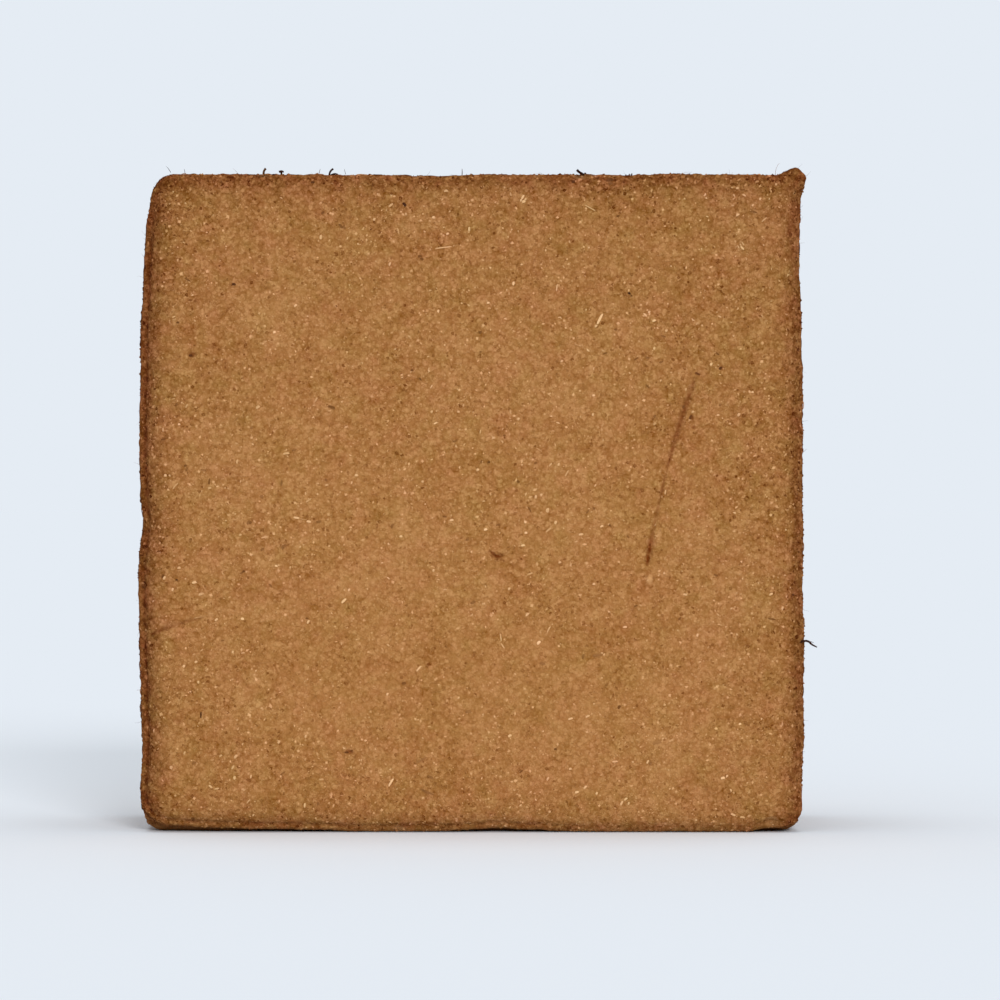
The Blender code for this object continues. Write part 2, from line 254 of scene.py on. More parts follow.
@dataclass(frozen=True)
class PressedForm:
    """Main form of the bale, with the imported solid's own sizes."""

    width: float = 0.3025
    height: float = 0.2990
    thickness: float = 0.1200
    bottom_left_radius: float = 0.0138
    bottom_right_radius: float = 0.0100
    top_left_radius: float = 0.0135
    top_right_radius: float = 0.0030
    rear_radius: float = 0.0080
    sharp_corner_depth: float = 0.020
    left_insets: Profile = (
        (0.018, 0.0009), (0.032, 0.0018), (0.060, 0.0013), (0.087, 0.0005), (0.115, 0.0000),
        (0.126, 0.0005), (0.140, 0.0022), (0.155, 0.0006), (0.178, 0.0005), (0.224, 0.0011),
        (0.252, 0.0023), (0.272, 0.0034), (0.288, 0.0054),
    )
    right_insets: Profile = (
        (0.020, 0.0006), (0.050, 0.0000), (0.190, 0.0004), (0.235, 0.0010), (0.264, 0.0022),
        (0.285, 0.0012),
    )
    bottom_insets: Profile = (
        (0.010, 0.0032), (0.018, 0.0028), (0.030, 0.0019), (0.050, 0.0014), (0.075, 0.0010),
        (0.100, 0.0003), (0.135, 0.0003), (0.152, 0.0010), (0.163, 0.0019), (0.176, 0.0010),
        (0.200, 0.0002), (0.276, 0.0002), (0.288, 0.0019),
    )
    top_insets: Profile = (
        (0.020, 0.0000), (0.090, 0.0004), (0.135, 0.0009), (0.165, 0.0004), (0.285, 0.0002),
    )
    inset_reach: float = 0.050
    rear_straightening: float = 0.5
    edge_wander: tuple[Wander, ...] = tuple(Wander(0.0003, 0.022, seed) for seed in (2.5, 3.5, 1.5, 4.5))
    base_fade: Span = (0.0080, 0.0150)
    shoulder_drops: tuple[float, ...] = (0.0048, 0.0060, 0.0046, 0.0034)
    shoulder_widths: tuple[float, ...] = (0.0120, 0.0140, 0.0100, 0.0080)
    shoulder_power: float = 2.6
    ledge_widths: tuple[float, ...] = (0.0029, 0.0034, 0.0028, 0.0034)
    ledge_depth: float = 0.0054
    ledge_rounding: float = 0.0014
    seam_notch: float = 0.0009
    seam_reach: float = 0.0010
    rear_ledge: float = 0.75
    left_ledge: Profile = ((0.000, 1.0), (0.262, 1.0), (0.288, 0.25))
    bottom_ledge: Profile = ((0.000, 0.8), (0.170, 0.6), (0.215, 0.25), (0.280, 0.20))
    side_blend: float = 0.0060
    lip: float = 0.0100
    wall_hollow: float = 0.0009
    wall_hollow_start: float = 0.0070
    wall_hollow_run: float = 0.0080
    layer_seams: Profile = ((0.0270, 0.0013), (0.0480, 0.0018), (0.0740, 0.0012), (0.0950, 0.0016))
    seam_half_width: float = 0.0012
    seam_openness: float = 0.55
    seam_patches: tuple[Wander, ...] = tuple(Wander(1.0, 0.070, seed) for seed in (31.0, 38.0, 45.0, 52.0))
    sway: Wander = Wander(0.0022, 0.045, 23.5)
    layer_step: float = 0.0011
    layer_patches: tuple[Wander, ...] = tuple(
        Wander(1.0, 0.045, seed) for seed in (11.0, 16.0, 21.0, 26.0, 31.0)
    )
    wall_lumps: Wander = Wander(0.0006, 0.017, 5.5)
    flash_rise: float = 0.0031
    flash_reach: float = 0.0023
    flash_top_point: float = 0.0036
    flash_side_point: float = 0.0030
    flash_run: float = 0.0105
    flash_depth: Span = (0.0050, 0.0150)
    flash_flatness: float = 0.75

    def places(self, nominal: Array) -> BoxPlaces:
        """Finds how points of the plain box lie to its sides.

        Args:
            nominal: The points, in the frame's own directions.

        Returns:
            Their places on the box.
        """
        across = nominal[:, 0] + self.width / 2.0
        depth = nominal[:, 1] + self.thickness / 2.0
        up = nominal[:, 2]
        gaps = np.stack([across, self.width - across, up, self.height - up])
        closeness = np.exp(-gaps / self.side_blend)
        shares = closeness / closeness.sum(axis=0)
        from_face = np.minimum(depth, self.thickness - depth)
        return BoxPlaces(across, depth, up, gaps, shares, from_face, depth < self.thickness / 2.0)

    def round_corners(self, at: BoxPlaces) -> tuple[Array, Array]:
        """Rounds the corners of the square outline, each at its own radius.

        Args:
            at: Places on the plain box.

        Returns:
            How far each place moves, and the outward direction there, as (x, y, z) rows.
        """
        left = at.gaps[Side.LEFT] < at.gaps[Side.RIGHT]
        bottom = at.gaps[Side.BOTTOM] < at.gaps[Side.TOP]
        low = np.where(left, self.bottom_left_radius, self.bottom_right_radius)
        high = np.where(left, self.top_left_radius, self.top_right_radius)
        front = np.where(bottom, low, high)
        radius = front + (self.rear_radius - front) * smooth(at.depth / self.sharp_corner_depth)
        sideways = np.where(left, -1.0, 1.0)
        upwards = np.where(bottom, -1.0, 1.0)
        side_gap = np.minimum(at.gaps[Side.LEFT], at.gaps[Side.RIGHT])
        level_gap = np.minimum(at.gaps[Side.BOTTOM], at.gaps[Side.TOP])
        plain = (side_gap >= radius) | (level_gap >= radius)
        beside = side_gap < level_gap
        straight = rows(np.where(beside, sideways, 0.0), 0.0, np.where(beside, 0.0, upwards))
        out = rows(sideways * (radius - side_gap), 0.0, upwards * (radius - level_gap))
        reach = np.maximum(radius - side_gap, radius - level_gap)[:, None]
        moved = np.where(plain[:, None], 0.0, unit(out) * reach - out)
        return moved, np.where(plain[:, None], straight, unit(out))

    def inset(self, side: Side, at: BoxPlaces) -> Array:
        """Finds how far one wandering side lies inside the box.

        Args:
            side: The side.
            at: Places on the plain box.

        Returns:
            The inset at each place.
        """
        place = at.across if side in (Side.BOTTOM, Side.TOP) else at.up
        points = (self.left_insets, self.right_insets, self.bottom_insets, self.top_insets)[side]
        wander = self.edge_wander[side].over(rows(place, at.depth, 0.0))
        if side is Side.BOTTOM:
            start, end = self.base_fade
            inset = eased(points, place) + np.abs(wander)
            return inset * (1.0 - smooth((at.from_face - start) / (end - start)))
        straighter = 1.0 - self.rear_straightening * smooth(at.depth / self.thickness)
        return eased(points, place) * straighter + wander

    def follow_edges(self, at: BoxPlaces) -> Array:
        """Fits the box to its wandering sides.

        Args:
            at: Places on the plain box.

        Returns:
            The shift of each place, as (x, y, z) rows.
        """
        inwards = ((1.0, 0.0, 0.0), (-1.0, 0.0, 0.0), (0.0, 0.0, 1.0), (0.0, 0.0, -1.0))
        shift = np.zeros((len(at.up), 3))
        for side, inward in zip(Side, inwards):
            share = 1.0 - smooth(at.gaps[side] / self.inset_reach)
            shift += (self.inset(side, at) * share)[:, None] * np.array(inward)
        return shift

    def ledge_share(self, at: BoxPlaces) -> Array:
        """Finds how strongly a ledge runs along the sides that are near.

        Args:
            at: Places on the plain box.

        Returns:
            The strength at each place, from 0 to 1.
        """
        left = at.shares[Side.LEFT] * eased(self.left_ledge, at.up)
        bottom = at.shares[Side.BOTTOM] * eased(self.bottom_ledge, at.across)
        return np.where(at.front, left + bottom, self.rear_ledge)

    def ledge_width(self, at: BoxPlaces) -> Array:
        """Distance from the outline to the seam that a ledge has at each place."""
        return np.array(self.ledge_widths) @ at.shares

    def plain_shoulder(self, at: BoxPlaces, gap: Array) -> Array:
        """Finds the drop of a shoulder that has no ledge.

        Args:
            at: Places on the plain box.
            gap: Their distances from where the shoulder ends.

        Returns:
            The drop at each place.
        """
        drop = np.array(self.shoulder_drops) @ at.shares
        width = np.array(self.shoulder_widths) @ at.shares
        return drop * fading(gap / width) ** self.shoulder_power

    def flash_share(self, at: BoxPlaces) -> Array:
        """Finds what belongs to the scrap of flash at the top right corner.

        Args:
            at: Places on the plain box.

        Returns:
            1 in the flash, down to 0 round it.
        """
        beside = 1.0 - smooth(at.gaps[Side.RIGHT] / self.flash_run)
        below = 1.0 - smooth(at.gaps[Side.TOP] / self.flash_run)
        return beside * below

    def face_drop(self, at: BoxPlaces) -> Array:
        """Finds how far the broad face lies behind its plane: its shoulders and ledges.

        Args:
            at: Places on the plain box.

        Returns:
            The drop at each place.
        """
        gap = np.clip(at.edge_gap(), 0.0, None)
        seam = self.ledge_width(at)
        notch = self.seam_notch * fading(np.abs(gap - seam) / self.seam_reach)
        inside = self.plain_shoulder(at, np.clip(gap - seam, 0.0, None))
        outside = self.ledge_depth + self.ledge_rounding * fading(gap / self.ledge_rounding) ** 2
        ledged = np.where(gap > seam, inside, outside) + notch
        plain = self.plain_shoulder(at, gap)
        drop = plain + (ledged - plain) * self.ledge_share(at)
        return drop * np.where(at.front, 1.0 - self.flash_flatness * self.flash_share(at), 1.0)

    def flash_pull(self, at: BoxPlaces) -> Array:
        """Pulls the top right corner out to its two points of flash.

        Args:
            at: Places on the plain box.

        Returns:
            The shift of each place, as (x, y, z) rows.
        """
        near, far = self.flash_depth
        thin = 1.0 - smooth((at.depth - near) / (far - near))
        right, top = at.gaps[Side.RIGHT], at.gaps[Side.TOP]
        rise = tent(right, -self.flash_top_point, self.flash_top_point, self.flash_run)
        reach = tent(top, -self.flash_side_point, self.flash_side_point, self.flash_run)
        rise = rise * fading(top / self.flash_run)
        reach = reach * fading(right / self.flash_run)
        return rows(self.flash_reach * reach * thin, 0.0, self.flash_rise * rise * thin)

    def hollow_share(self, at: BoxPlaces) -> Array:
        """How much each place lies in the hollow of a narrow side, from 0 to 1."""
        return smooth((at.from_face - self.wall_hollow_start) / self.wall_hollow_run)

    def seam_openings(self, at: BoxPlaces) -> list[Array]:
        """Finds how open the seams between the layers are.

        Args:
            at: Places on the plain box.

        Returns:
            For each seam, how open it is at each place, from 0 to 1.
        """
        openings = []
        for (seam, _), patches in zip(self.layer_seams, self.seam_patches):
            reach = fading(np.abs(at.depth - seam) / self.seam_half_width)
            openings.append(reach * smooth(self.seam_openness + patches.over(at.flat())))
        return openings

    def wall_inset(self, at: BoxPlaces, openings: list[Array]) -> Array:
        """Finds how far a narrow side lies inside the outline: its hollow, layers and seams.

        Args:
            at: Places on the plain box.
            openings: How open each seam is there.

        Returns:
            The inset at each place.
        """
        steps = [0.5 + 0.5 * patches.over(at.flat()) for patches in self.layer_patches]
        layers = steps[0]
        for (seam, _), before, after in zip(self.layer_seams, steps, steps[1:]):
            behind = smooth(0.5 + 0.5 * (at.depth - seam) / self.seam_half_width)
            layers = layers + (after - before) * behind
        inset = self.wall_hollow + self.layer_step * layers + self.wall_lumps.over(at.points())
        inset = inset * self.hollow_share(at) * (1.0 - at.shares[Side.BOTTOM])
        for (_, cut), opening in zip(self.layer_seams, openings):
            inset = inset + cut * opening
        return inset


@dataclass(frozen=True)
class Groove:
    """A groove along a bowed line on the front face.

    Its ends are (across, up), it bows to the left by bow, and each section is (share of
    its length, half width, depth). Darkness is the painted shade in it, up to 1.
    """

    start: Span
    end: Span
    bow: float
    sections: tuple[tuple[float, float, float], ...]
    darkness: Profile
    raggedness: Wander = Wander(0.45, 0.0024, 97.0)

    def distances(self, across: Array, up: Array) -> tuple[Array, Array]:
        """Follows the groove's line.

        Args:
            across: Places across the face.
            up: Heights on the face.

        Returns:
            The share of its length that each place is beside, and the distance to it.
        """
        start, end = np.array(self.start), np.array(self.end)
        length = np.linalg.norm(end - start)
        run = (end - start) / length
        left = np.array((-abs(run[1]), math.copysign(run[0], run[0] * run[1])))
        offset = np.stack([across, up], axis=1) - start
        along = offset @ run
        share = np.clip(along / length, 0.0, 1.0)
        beside = offset @ left - self.bow * 4.0 * share * (1.0 - share)
        return share, np.hypot(beside, along - share * length)

    def cut(self, across: Array, up: Array) -> tuple[Array, Array]:
        """Cuts the groove.

        Args:
            across: Places across the face.
            up: Heights on the face.

        Returns:
            Its depth at each place, and the painted shade in it there.
        """
        share, distance = self.distances(across, up)
        stops, half_widths, depths = np.array(self.sections).T
        ragged = self.raggedness.over(rows(across, 0.0, up))
        half_width = np.interp(share, stops, half_widths) * (1.0 + ragged)
        inside = fading((distance / half_width) ** 2)
        darkness = eased(self.darkness, share) * (1.0 - ragged)
        return np.interp(share, stops, depths) * inside, darkness * inside


@dataclass(frozen=True)
class Dent:
    """A shallow dent in the front face, or a lump where its depth is below 0."""

    across: float
    up: float
    half_width: float
    half_height: float
    depth: float
    # Painted shade in a dent; below 0, a paler lump.
    darkness: float
    roundness: float = 1.5

    def cut(self, across: Array, up: Array) -> tuple[Array, Array]:
        """Presses the dent.

        Args:
            across: Places across the face.
            up: Heights on the face.

        Returns:
            Its depth at each place, and the painted shade there, which below 0 is the paler colour of a
            lump.
        """
        beside = (across - self.across) / self.half_width
        above = (up - self.up) / self.half_height
        inside = fading(np.hypot(beside, above) ** 2) ** self.roundness
        return self.depth * inside, self.darkness * inside


@dataclass(frozen=True)
class Chip:
    """A chip broken out of an edge, as a rough pebble would leave it."""

    across: float
    depth: float
    up: float
    radius: float


@dataclass(frozen=True)
class Wear:
    """What time and handling did to the bale: scratch, fold, dents and chips."""

    scratch: Groove = Groove(
        start=(0.2526, 0.2049),
        end=(0.2312, 0.1218),
        bow=0.0020,
        sections=(
            (0.00, 0.0009, 0.0003), (0.04, 0.0017, 0.0007), (0.30, 0.0017, 0.0007),
            (0.41, 0.0010, 0.0005), (0.50, 0.0006, 0.0003), (0.60, 0.0010, 0.0004),
            (0.80, 0.0012, 0.0005), (0.90, 0.0017, 0.0010), (0.97, 0.0017, 0.0010),
            (1.00, 0.0009, 0.0003),
        ),
        darkness=(
            (0.00, 0.58), (0.05, 0.64), (0.33, 0.60), (0.44, 0.62), (0.50, 0.18),
            (0.56, 0.56), (0.66, 0.38), (0.84, 0.46), (0.90, 0.90), (1.00, 0.85),
        ),
    )
    fold: Groove = Groove(
        start=(0.0062, 0.0900),
        end=(0.0338, 0.0984),
        bow=0.0009,
        sections=(
            (0.00, 0.0009, 0.0006), (0.35, 0.0012, 0.0006), (0.75, 0.0009, 0.0004),
            (1.00, 0.0005, 0.0002),
        ),
        darkness=((0.00, 0.90), (0.22, 0.70), (0.30, 0.35), (0.60, 0.35), (1.0, 0.15)),
    )
    gouge: Groove = Groove(
        start=(0.1599, 0.1279),
        end=(0.1681, 0.1276),
        bow=0.0024,
        sections=(
            (0.00, 0.0008, 0.0004), (0.20, 0.0013, 0.0008), (0.50, 0.0015, 0.0009),
            (0.70, 0.0010, 0.0004), (1.00, 0.0005, 0.0002),
        ),
        darkness=((0.00, 0.50), (0.15, 0.80), (0.55, 0.78), (0.68, 0.50), (1.00, 0.20)),
    )
    dents: tuple[Dent, ...] = (
        Dent(0.0960, 0.0367, 0.0026, 0.0014, 0.0006, 0.80),
        Dent(0.0244, 0.2167, 0.0026, 0.0018, 0.0006, 0.80),
        Dent(0.2323, 0.1147, 0.0022, 0.0028, -0.0005, -0.80),
        Dent(0.2368, 0.1355, 0.0014, 0.0024, -0.0003, -0.50),
        Dent(0.2515, 0.1884, 0.0013, 0.0021, 0.0004, 0.85),
        Dent(0.2523, 0.1840, 0.0011, 0.0011, 0.0003, 0.70),
        Dent(0.2652, 0.2109, 0.0013, 0.0015, 0.0004, 0.80),
        Dent(0.2541, 0.2082, 0.0016, 0.0009, 0.0003, 0.60),
    )
    chips: tuple[Chip, ...] = (
        Chip(0.1190, 0.0040, 0.0004, 0.0030),
        Chip(0.0230, 0.0035, 0.0010, 0.0026),
        Chip(0.2880, 0.0020, 0.0040, 0.0034),
        Chip(0.0560, 0.0034, 0.2984, 0.0024),
        Chip(0.2010, 0.0030, 0.2984, 0.0026),
        Chip(0.0010, 0.0300, 0.2200, 0.0038),
        Chip(0.3020, 0.0760, 0.1180, 0.0042),
        Chip(0.3005, 0.1160, 0.2050, 0.0040),
        Chip(0.0900, 0.1180, 0.2980, 0.0044),
        Chip(0.2400, 0.1190, 0.0020, 0.0036),
        Chip(0.0012, 0.1150, 0.0750, 0.0038),
    )
    chip_flattening: float = 0.62
    chip_roughness: float = 0.28
    chip_patch: float = 0.8
    chip_search: float = 1.5
    solid_depth: float = 0.014
    detail_reach: float = 0.0026

    def grooves(self) -> tuple[Groove, ...]:
        """The grooves of the front face."""
        return (self.scratch, self.fold, self.gouge)

    def on_front(self, across: Array, up: Array) -> tuple[Array, Array]:
        """Adds up all the wear of the front face.

        Args:
            across: Places across the face.
            up: Heights on the face.

        Returns:
            Its depth at each place, and the painted shade there.
        """
        cuts = [mark.cut(across, up) for mark in (*self.grooves(), *self.dents)]
        depths, darknesses = zip(*cuts)
        return np.sum(depths, axis=0), np.clip(np.sum(darknesses, axis=0), -1.0, 1.0)

    def needs_detail(self, across: float, up: float) -> bool:
        """Tells where the front face needs finer cells than elsewhere.

        Args:
            across: A place across the face.
            up: Its height on the face.

        Returns:
            True in the wear and close to it.
        """
        place = np.array([across]), np.array([up])
        lines = [groove.distances(*place)[1][0] for groove in self.grooves()]
        spots = [math.hypot(across - dent.across, up - dent.up) - dent.half_width for dent in self.dents]
        return min(*lines, *spots) < self.detail_reach

    def chip_away(self, form: PressedForm, places: Array) -> tuple[Array, Array]:
        """Pushes what lies inside a chip to its inner wall.

        Args:
            form: The form that the chips are broken from.
            places: Points of the skin, as rows of (across, depth, up).

        Returns:
            The points after chipping, and 1 for those that moved, else 0.
        """
        places = places.copy()
        moved = np.zeros(len(places))
        low = np.full(3, self.solid_depth)
        high = np.array((form.width, form.thickness, form.height)) - self.solid_depth
        for chip in self.chips:
            centre = np.array((chip.across, chip.depth, chip.up))
            scale = chip.radius * np.array((1.0, self.chip_flattening, 1.0))
            inward = unit((np.clip(centre, low, high) - centre) / scale)
            away = np.linalg.norm(places - centre, axis=1)
            near = np.flatnonzero(away < self.chip_search * chip.radius)
            offset = (places[near] - centre) / scale
            rough = Wander(self.chip_roughness, self.chip_patch, chip.across + chip.up)
            radius = 1.0 + rough.over(unit(offset))
            hit = np.linalg.norm(offset, axis=1) < radius
            offset, radius, near = offset[hit], radius[hit], near[hit]
            along = offset @ inward
            beside = np.linalg.norm(offset, axis=1) ** 2 - along**2
            push = np.sqrt(np.clip(radius**2 - beside, 0.0, None)) - along
            places[near] = centre + (offset + push[:, None] * inward) * scale
            moved[near] = 1.0
        return places, moved


@dataclass(frozen=True)
class FineRelief:
    """Lumps, layers and crumbled edges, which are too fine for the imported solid."""

    face: tuple[Wander, ...] = (
        Wander(0.00012, 0.026, 41.0),
        Wander(0.00010, 0.0090, 43.0),
        Wander(0.00010, 0.0030, 47.0),
    )
    edges: tuple[Wander, ...] = (Wander(0.00022, 0.0050, 53.0), Wander(0.00020, 0.0021, 59.0))
    crumble_reach: float = 0.0030
    seam_clearness: float = 0.45
    seam_patches: Wander = Wander(1.1, 0.0034, 79.0)
    knobs: Wander = Wander(0.00055, 0.0065, 61.0)
    strata: Wander = Wander(0.00050, 0.0170, 67.0)
    strata_squeeze: float = 6.0
    crack_depth: float = 0.0011
    crack_lines: Wander = Wander(1.0, 0.030, 71.0)
    crack_squeeze: float = 9.0
    crack_width: float = 0.09
    crack_share: float = 0.2
    crack_patches: Wander = Wander(1.4, 0.060, 73.0)

    def on_face(self, places: Array) -> Array:
        """How far the broad faces sink at each place."""
        return sum(wander.over(places) for wander in self.face)

    def at_edges(self, places: Array) -> Array:
        """How far the edges lie inside or outside their plain line at each place."""
        return sum(wander.over(places) for wander in self.edges)

    def broken_seam(self, places: Array) -> Array:
        """How clearly the ledges' seam shows at each place, from 0 to 1."""
        return smooth(self.seam_clearness + self.seam_patches.over(places))

    def on_walls(self, places: Array) -> tuple[Array, Array]:
        """Roughens the narrow sides with knobs, layers and cracks.

        Args:
            places: Points of the plain box, as rows of (across, depth, up).

        Returns:
            How far each point sinks, and how open the cracks are there.
        """
        layered = places * np.array((1.0, self.strata_squeeze, 1.0))
        cracked = places * np.array((1.0, self.crack_squeeze, 1.0))
        ridge = np.abs(self.crack_lines.over(cracked)) / self.crack_width
        patches = smooth(self.crack_share + self.crack_patches.over(places))
        cracks = fading(ridge) * patches
        return self.knobs.over(places) + self.strata.over(layered) + self.crack_depth * cracks, cracks


@dataclass(frozen=True)
class BurnishAndShade:
    """How dark the broad faces turn towards each side, as (distance, darkness): a burnished edge with
    painted shade of the shoulders.

    The lines wander to and fro by a share of their distance from the side.
    """

    left: Profile = (
        (0.0000, 0.80), (0.0030, 0.81), (0.0040, 0.75), (0.0050, 0.65), (0.0068, 0.51),
        (0.0095, 0.33), (0.0127, 0.20), (0.0200, 0.09), (0.0500, 0.04), (0.0700, 0.00),
    )
    right: Profile = (
        (0.0000, 0.72), (0.0027, 0.76), (0.0041, 0.66), (0.0059, 0.44), (0.0087, 0.28),
        (0.0120, 0.14), (0.0200, 0.11), (0.0500, 0.04), (0.0800, 0.00),
    )
    bottom: Profile = (
        (0.0000, 0.38), (0.0022, 0.43), (0.0032, 0.33), (0.0043, 0.21), (0.0056, 0.16),
        (0.0080, 0.14), (0.0134, 0.11), (0.0180, 0.05), (0.0500, 0.00),
    )
    # Painted shade: the top's line reaches far down the face and darkens it slowly towards the top.
    top: Profile = (
        (0.0000, 0.72), (0.0030, 0.75), (0.0040, 0.66), (0.0054, 0.54), (0.0068, 0.44),
        (0.0082, 0.31), (0.0100, 0.26), (0.0160, 0.21), (0.0280, 0.14), (0.0800, 0.09),
        (0.1500, 0.03), (0.2200, 0.00),
    )
    wander: Wander = Wander(0.22, 0.0075, 83.0)
    dapple: Wander = Wander(0.26, 0.0019, 89.0)
    base_corner: float = 0.42
    base_corner_reach: float = 0.0150

    def darkness(self, at: BoxPlaces) -> Array:
        """Paints the burnished edges and the shade of the shoulders onto the broad faces, and darkens them
        towards the bottom corners.

        Args:
            at: Places on the plain box.

        Returns:
            The darkness of each, from 0 to about 1.
        """
        stretch = 1.0 + self.wander.over(at.points())
        dapple = 1.0 + self.dapple.over(at.points())
        beside = np.minimum(at.gaps[Side.LEFT], at.gaps[Side.RIGHT])
        corner = 1.0 - smooth(np.hypot(beside, at.gaps[Side.BOTTOM]) / self.base_corner_reach)
        light = 1.0 - self.base_corner * corner
        for gap, profile in zip(at.gaps, (self.left, self.right, self.bottom, self.top)):
            light = light * (1.0 - eased(profile, gap * stretch))
        return (1.0 - light) * dapple


def divide(block: bmesh.types.BMesh, way: Vector, stations: list[float], cells: list[int]) -> None:
    """Cuts a box across a direction, and divides each band between the cuts.

    Args:
        block: The box as it has been cut so far.
        way: The direction.
        stations: Places of the cuts along it, with the box's two ends.
        cells: How many cells each band gets.
    """
    for station in stations[1:-1]:
        everything = block.verts[:] + block.edges[:] + block.faces[:]
        bmesh.ops.bisect_plane(block, geom=everything, plane_co=way * station, plane_no=way)
    for start, end, count in zip(stations, stations[1:], cells):
        edges = []
        for edge in block.edges:
            near, far = sorted(vertex.co.dot(way) for vertex in edge.verts)
            if far - near > ON_FACE and start < (near + far) / 2.0 < end:
                edges.append(edge)
        bmesh.ops.subdivide_edges(block, edges=edges, cuts=count - 1, use_grid_fill=True)


@dataclass
class Skin:
    """The bale's surface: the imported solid's form with all its fine relief."""

    form: PressedForm = field(default_factory=PressedForm)
    relief: FineRelief = field(default_factory=FineRelief)
    wear: Wear = field(default_factory=Wear)
    burnish_and_shade: BurnishAndShade = field(default_factory=BurnishAndShade)
    rim_band: float = 0.009
    rim_cells: int = 6
    middle_cell: float = 0.0036
    layer_cell: float = 0.0047
    detail_rounds: int = 2
    smooth_lip: float = 0.3
    seam_line: float = 0.0013
    # Painted shade in the ledges' seam, the layer seams and the cracks.
    seam_shade: float = 0.95
    layer_seam_shade: float = 0.8
    crack_shade: float = 0.7
    chip_paleness: float = 0.25

    def block(self) -> bmesh.types.BMesh:
        """Divides a plain box into small cells, finest round the front face and in its wear.

        Returns:
            The box, standing on the floor.
        """
        form = self.form
        block = bmesh.new()
        box = Matrix.Diagonal((form.width, form.thickness, form.height, 1.0))
        raised = Matrix.Translation((0.0, 0.0, form.height / 2.0))
        bmesh.ops.create_cube(block, size=1.0, matrix=raised @ box)
        for way, length, start in (
            (Vector((1, 0, 0)), form.width, -form.width / 2.0),
            (Vector((0, 0, 1)), form.height, 0.0),
        ):
            middle = round((length - 2.0 * self.rim_band) / self.middle_cell)
            stations = [0.0, self.rim_band, length - self.rim_band, length]
            cells = [self.rim_cells, middle, self.rim_cells]
            divide(block, way, [start + station for station in stations], cells)
        stations, cells = self.layer_bands()
        start = -form.thickness / 2.0
        divide(block, Vector((0, 1, 0)), [start + station for station in stations], cells)
        rear = form.thickness / 2.0 - ON_FACE
        seen = [edge for edge in block.edges if min(v.co.y for v in edge.verts) < rear]
        bmesh.ops.subdivide_edges(block, edges=seen, cuts=1, use_grid_fill=True)
        for _ in range(self.detail_rounds):
            self.refine_wear(block)
        return block

    def layer_bands(self) -> tuple[list[float], list[int]]:
        """Divides the narrow sides into bands, two cells wide where a seam runs.

        Returns:
            The depths where the bands start and end, and the number of cells in each.
        """
        half = self.form.seam_half_width
        stations = [0.0]
        cells = []
        for seam, _ in self.form.layer_seams:
            cells += [round((seam - half - stations[-1]) / self.layer_cell), 2]
            stations += [seam - half, seam + half]
        cells.append(round((self.form.thickness - stations[-1]) / self.layer_cell))
        return [*stations, self.form.thickness], cells

    def refine_wear(self, block: bmesh.types.BMesh) -> None:
        """Divides the cells of the front face that lie in its wear.

        Args:
            block: The box.
        """
        front = ON_FACE - self.form.thickness / 2.0
        fine = {
            vertex
            for vertex in block.verts
            if vertex.co.y < front
            and self.wear.needs_detail(vertex.co.x + self.form.width / 2.0, vertex.co.z)
        }
        edges = [edge for edge in block.edges if fine.issuperset(edge.verts)]
        bmesh.ops.subdivide_edges(block, edges=edges, cuts=1, use_grid_fill=True)

    def press(self, nominal: Array) -> tuple[Array, dict[str, Array]]:
        """Presses the plain box into the bale's form.

        Args:
            nominal: Points of the plain box.

        Returns:
            Their places on the bale, and the skin's tints there.
        """
        form = self.form
        at = form.places(nominal)
        box_points = at.points()
        hollow = form.hollow_share(at)
        openings = form.seam_openings(at)
        on_wall = (at.from_face > ON_FACE).astype(float)
        on_front = at.front * (1.0 - on_wall)

        corner_shift, outward = form.round_corners(at)
        places = box_points + corner_shift
        places += form.follow_edges(at) + form.flash_pull(at)
        near_edge = np.maximum(on_wall, 1.0 - smooth(at.edge_gap() / self.relief.crumble_reach))
        above_base = 1.0 - at.shares[Side.BOTTOM] * smooth(at.from_face / form.lip)
        sunk, cracks = self.relief.on_walls(box_points)
        inside = smooth((at.from_face - self.smooth_lip * form.lip) / form.lip) * above_base
        inset = form.wall_inset(at, openings) * on_wall
        inset += self.relief.at_edges(box_points) * near_edge * above_base
        inset += sunk * on_wall * inside
        places -= outward * inset[:, None]

        worn, worn_shade = self.wear.on_front(at.across, at.up)
        drop = form.face_drop(at) * fading(at.from_face / form.lip)
        drop += self.relief.on_face(box_points) * (1.0 - on_wall) + worn * on_front
        inwards = np.where(at.front, 1.0, -1.0)
        places[:, 1] += inwards * drop + form.sway.over(at.flat()) * hollow * on_wall
        places, chipped = self.wear.chip_away(form, places)

        # Painted shade along the ledges' seam.
        seam_line = fading(np.abs(at.edge_gap() - form.ledge_width(at)) / self.seam_line)
        seam_line = seam_line * form.ledge_share(at)
        seam_line *= self.seam_shade * self.relief.broken_seam(box_points)
        wall_lines = self.layer_seam_shade * sum(openings) + self.crack_shade * cracks * inside
        crevice = seam_line * (1.0 - on_wall) + on_front * worn_shade
        crevice += on_wall * wall_lines - self.chip_paleness * chipped
        tints = {
            # Burnish and painted shade of the shoulders.
            "rim": self.burnish_and_shade.darkness(at) * (1.0 - on_wall * hollow),
            # Painted shade in seams, grooves, dents and cracks; below 0, paler chips and lumps.
            "crevice": np.clip(crevice, -1.0, 1.0),
            # Painted shade on the narrow sides.
            "side": on_wall * smooth(at.from_face / form.lip),
        }
        places -= np.array((form.width / 2.0, form.thickness / 2.0, 0.0))
        return places, tints

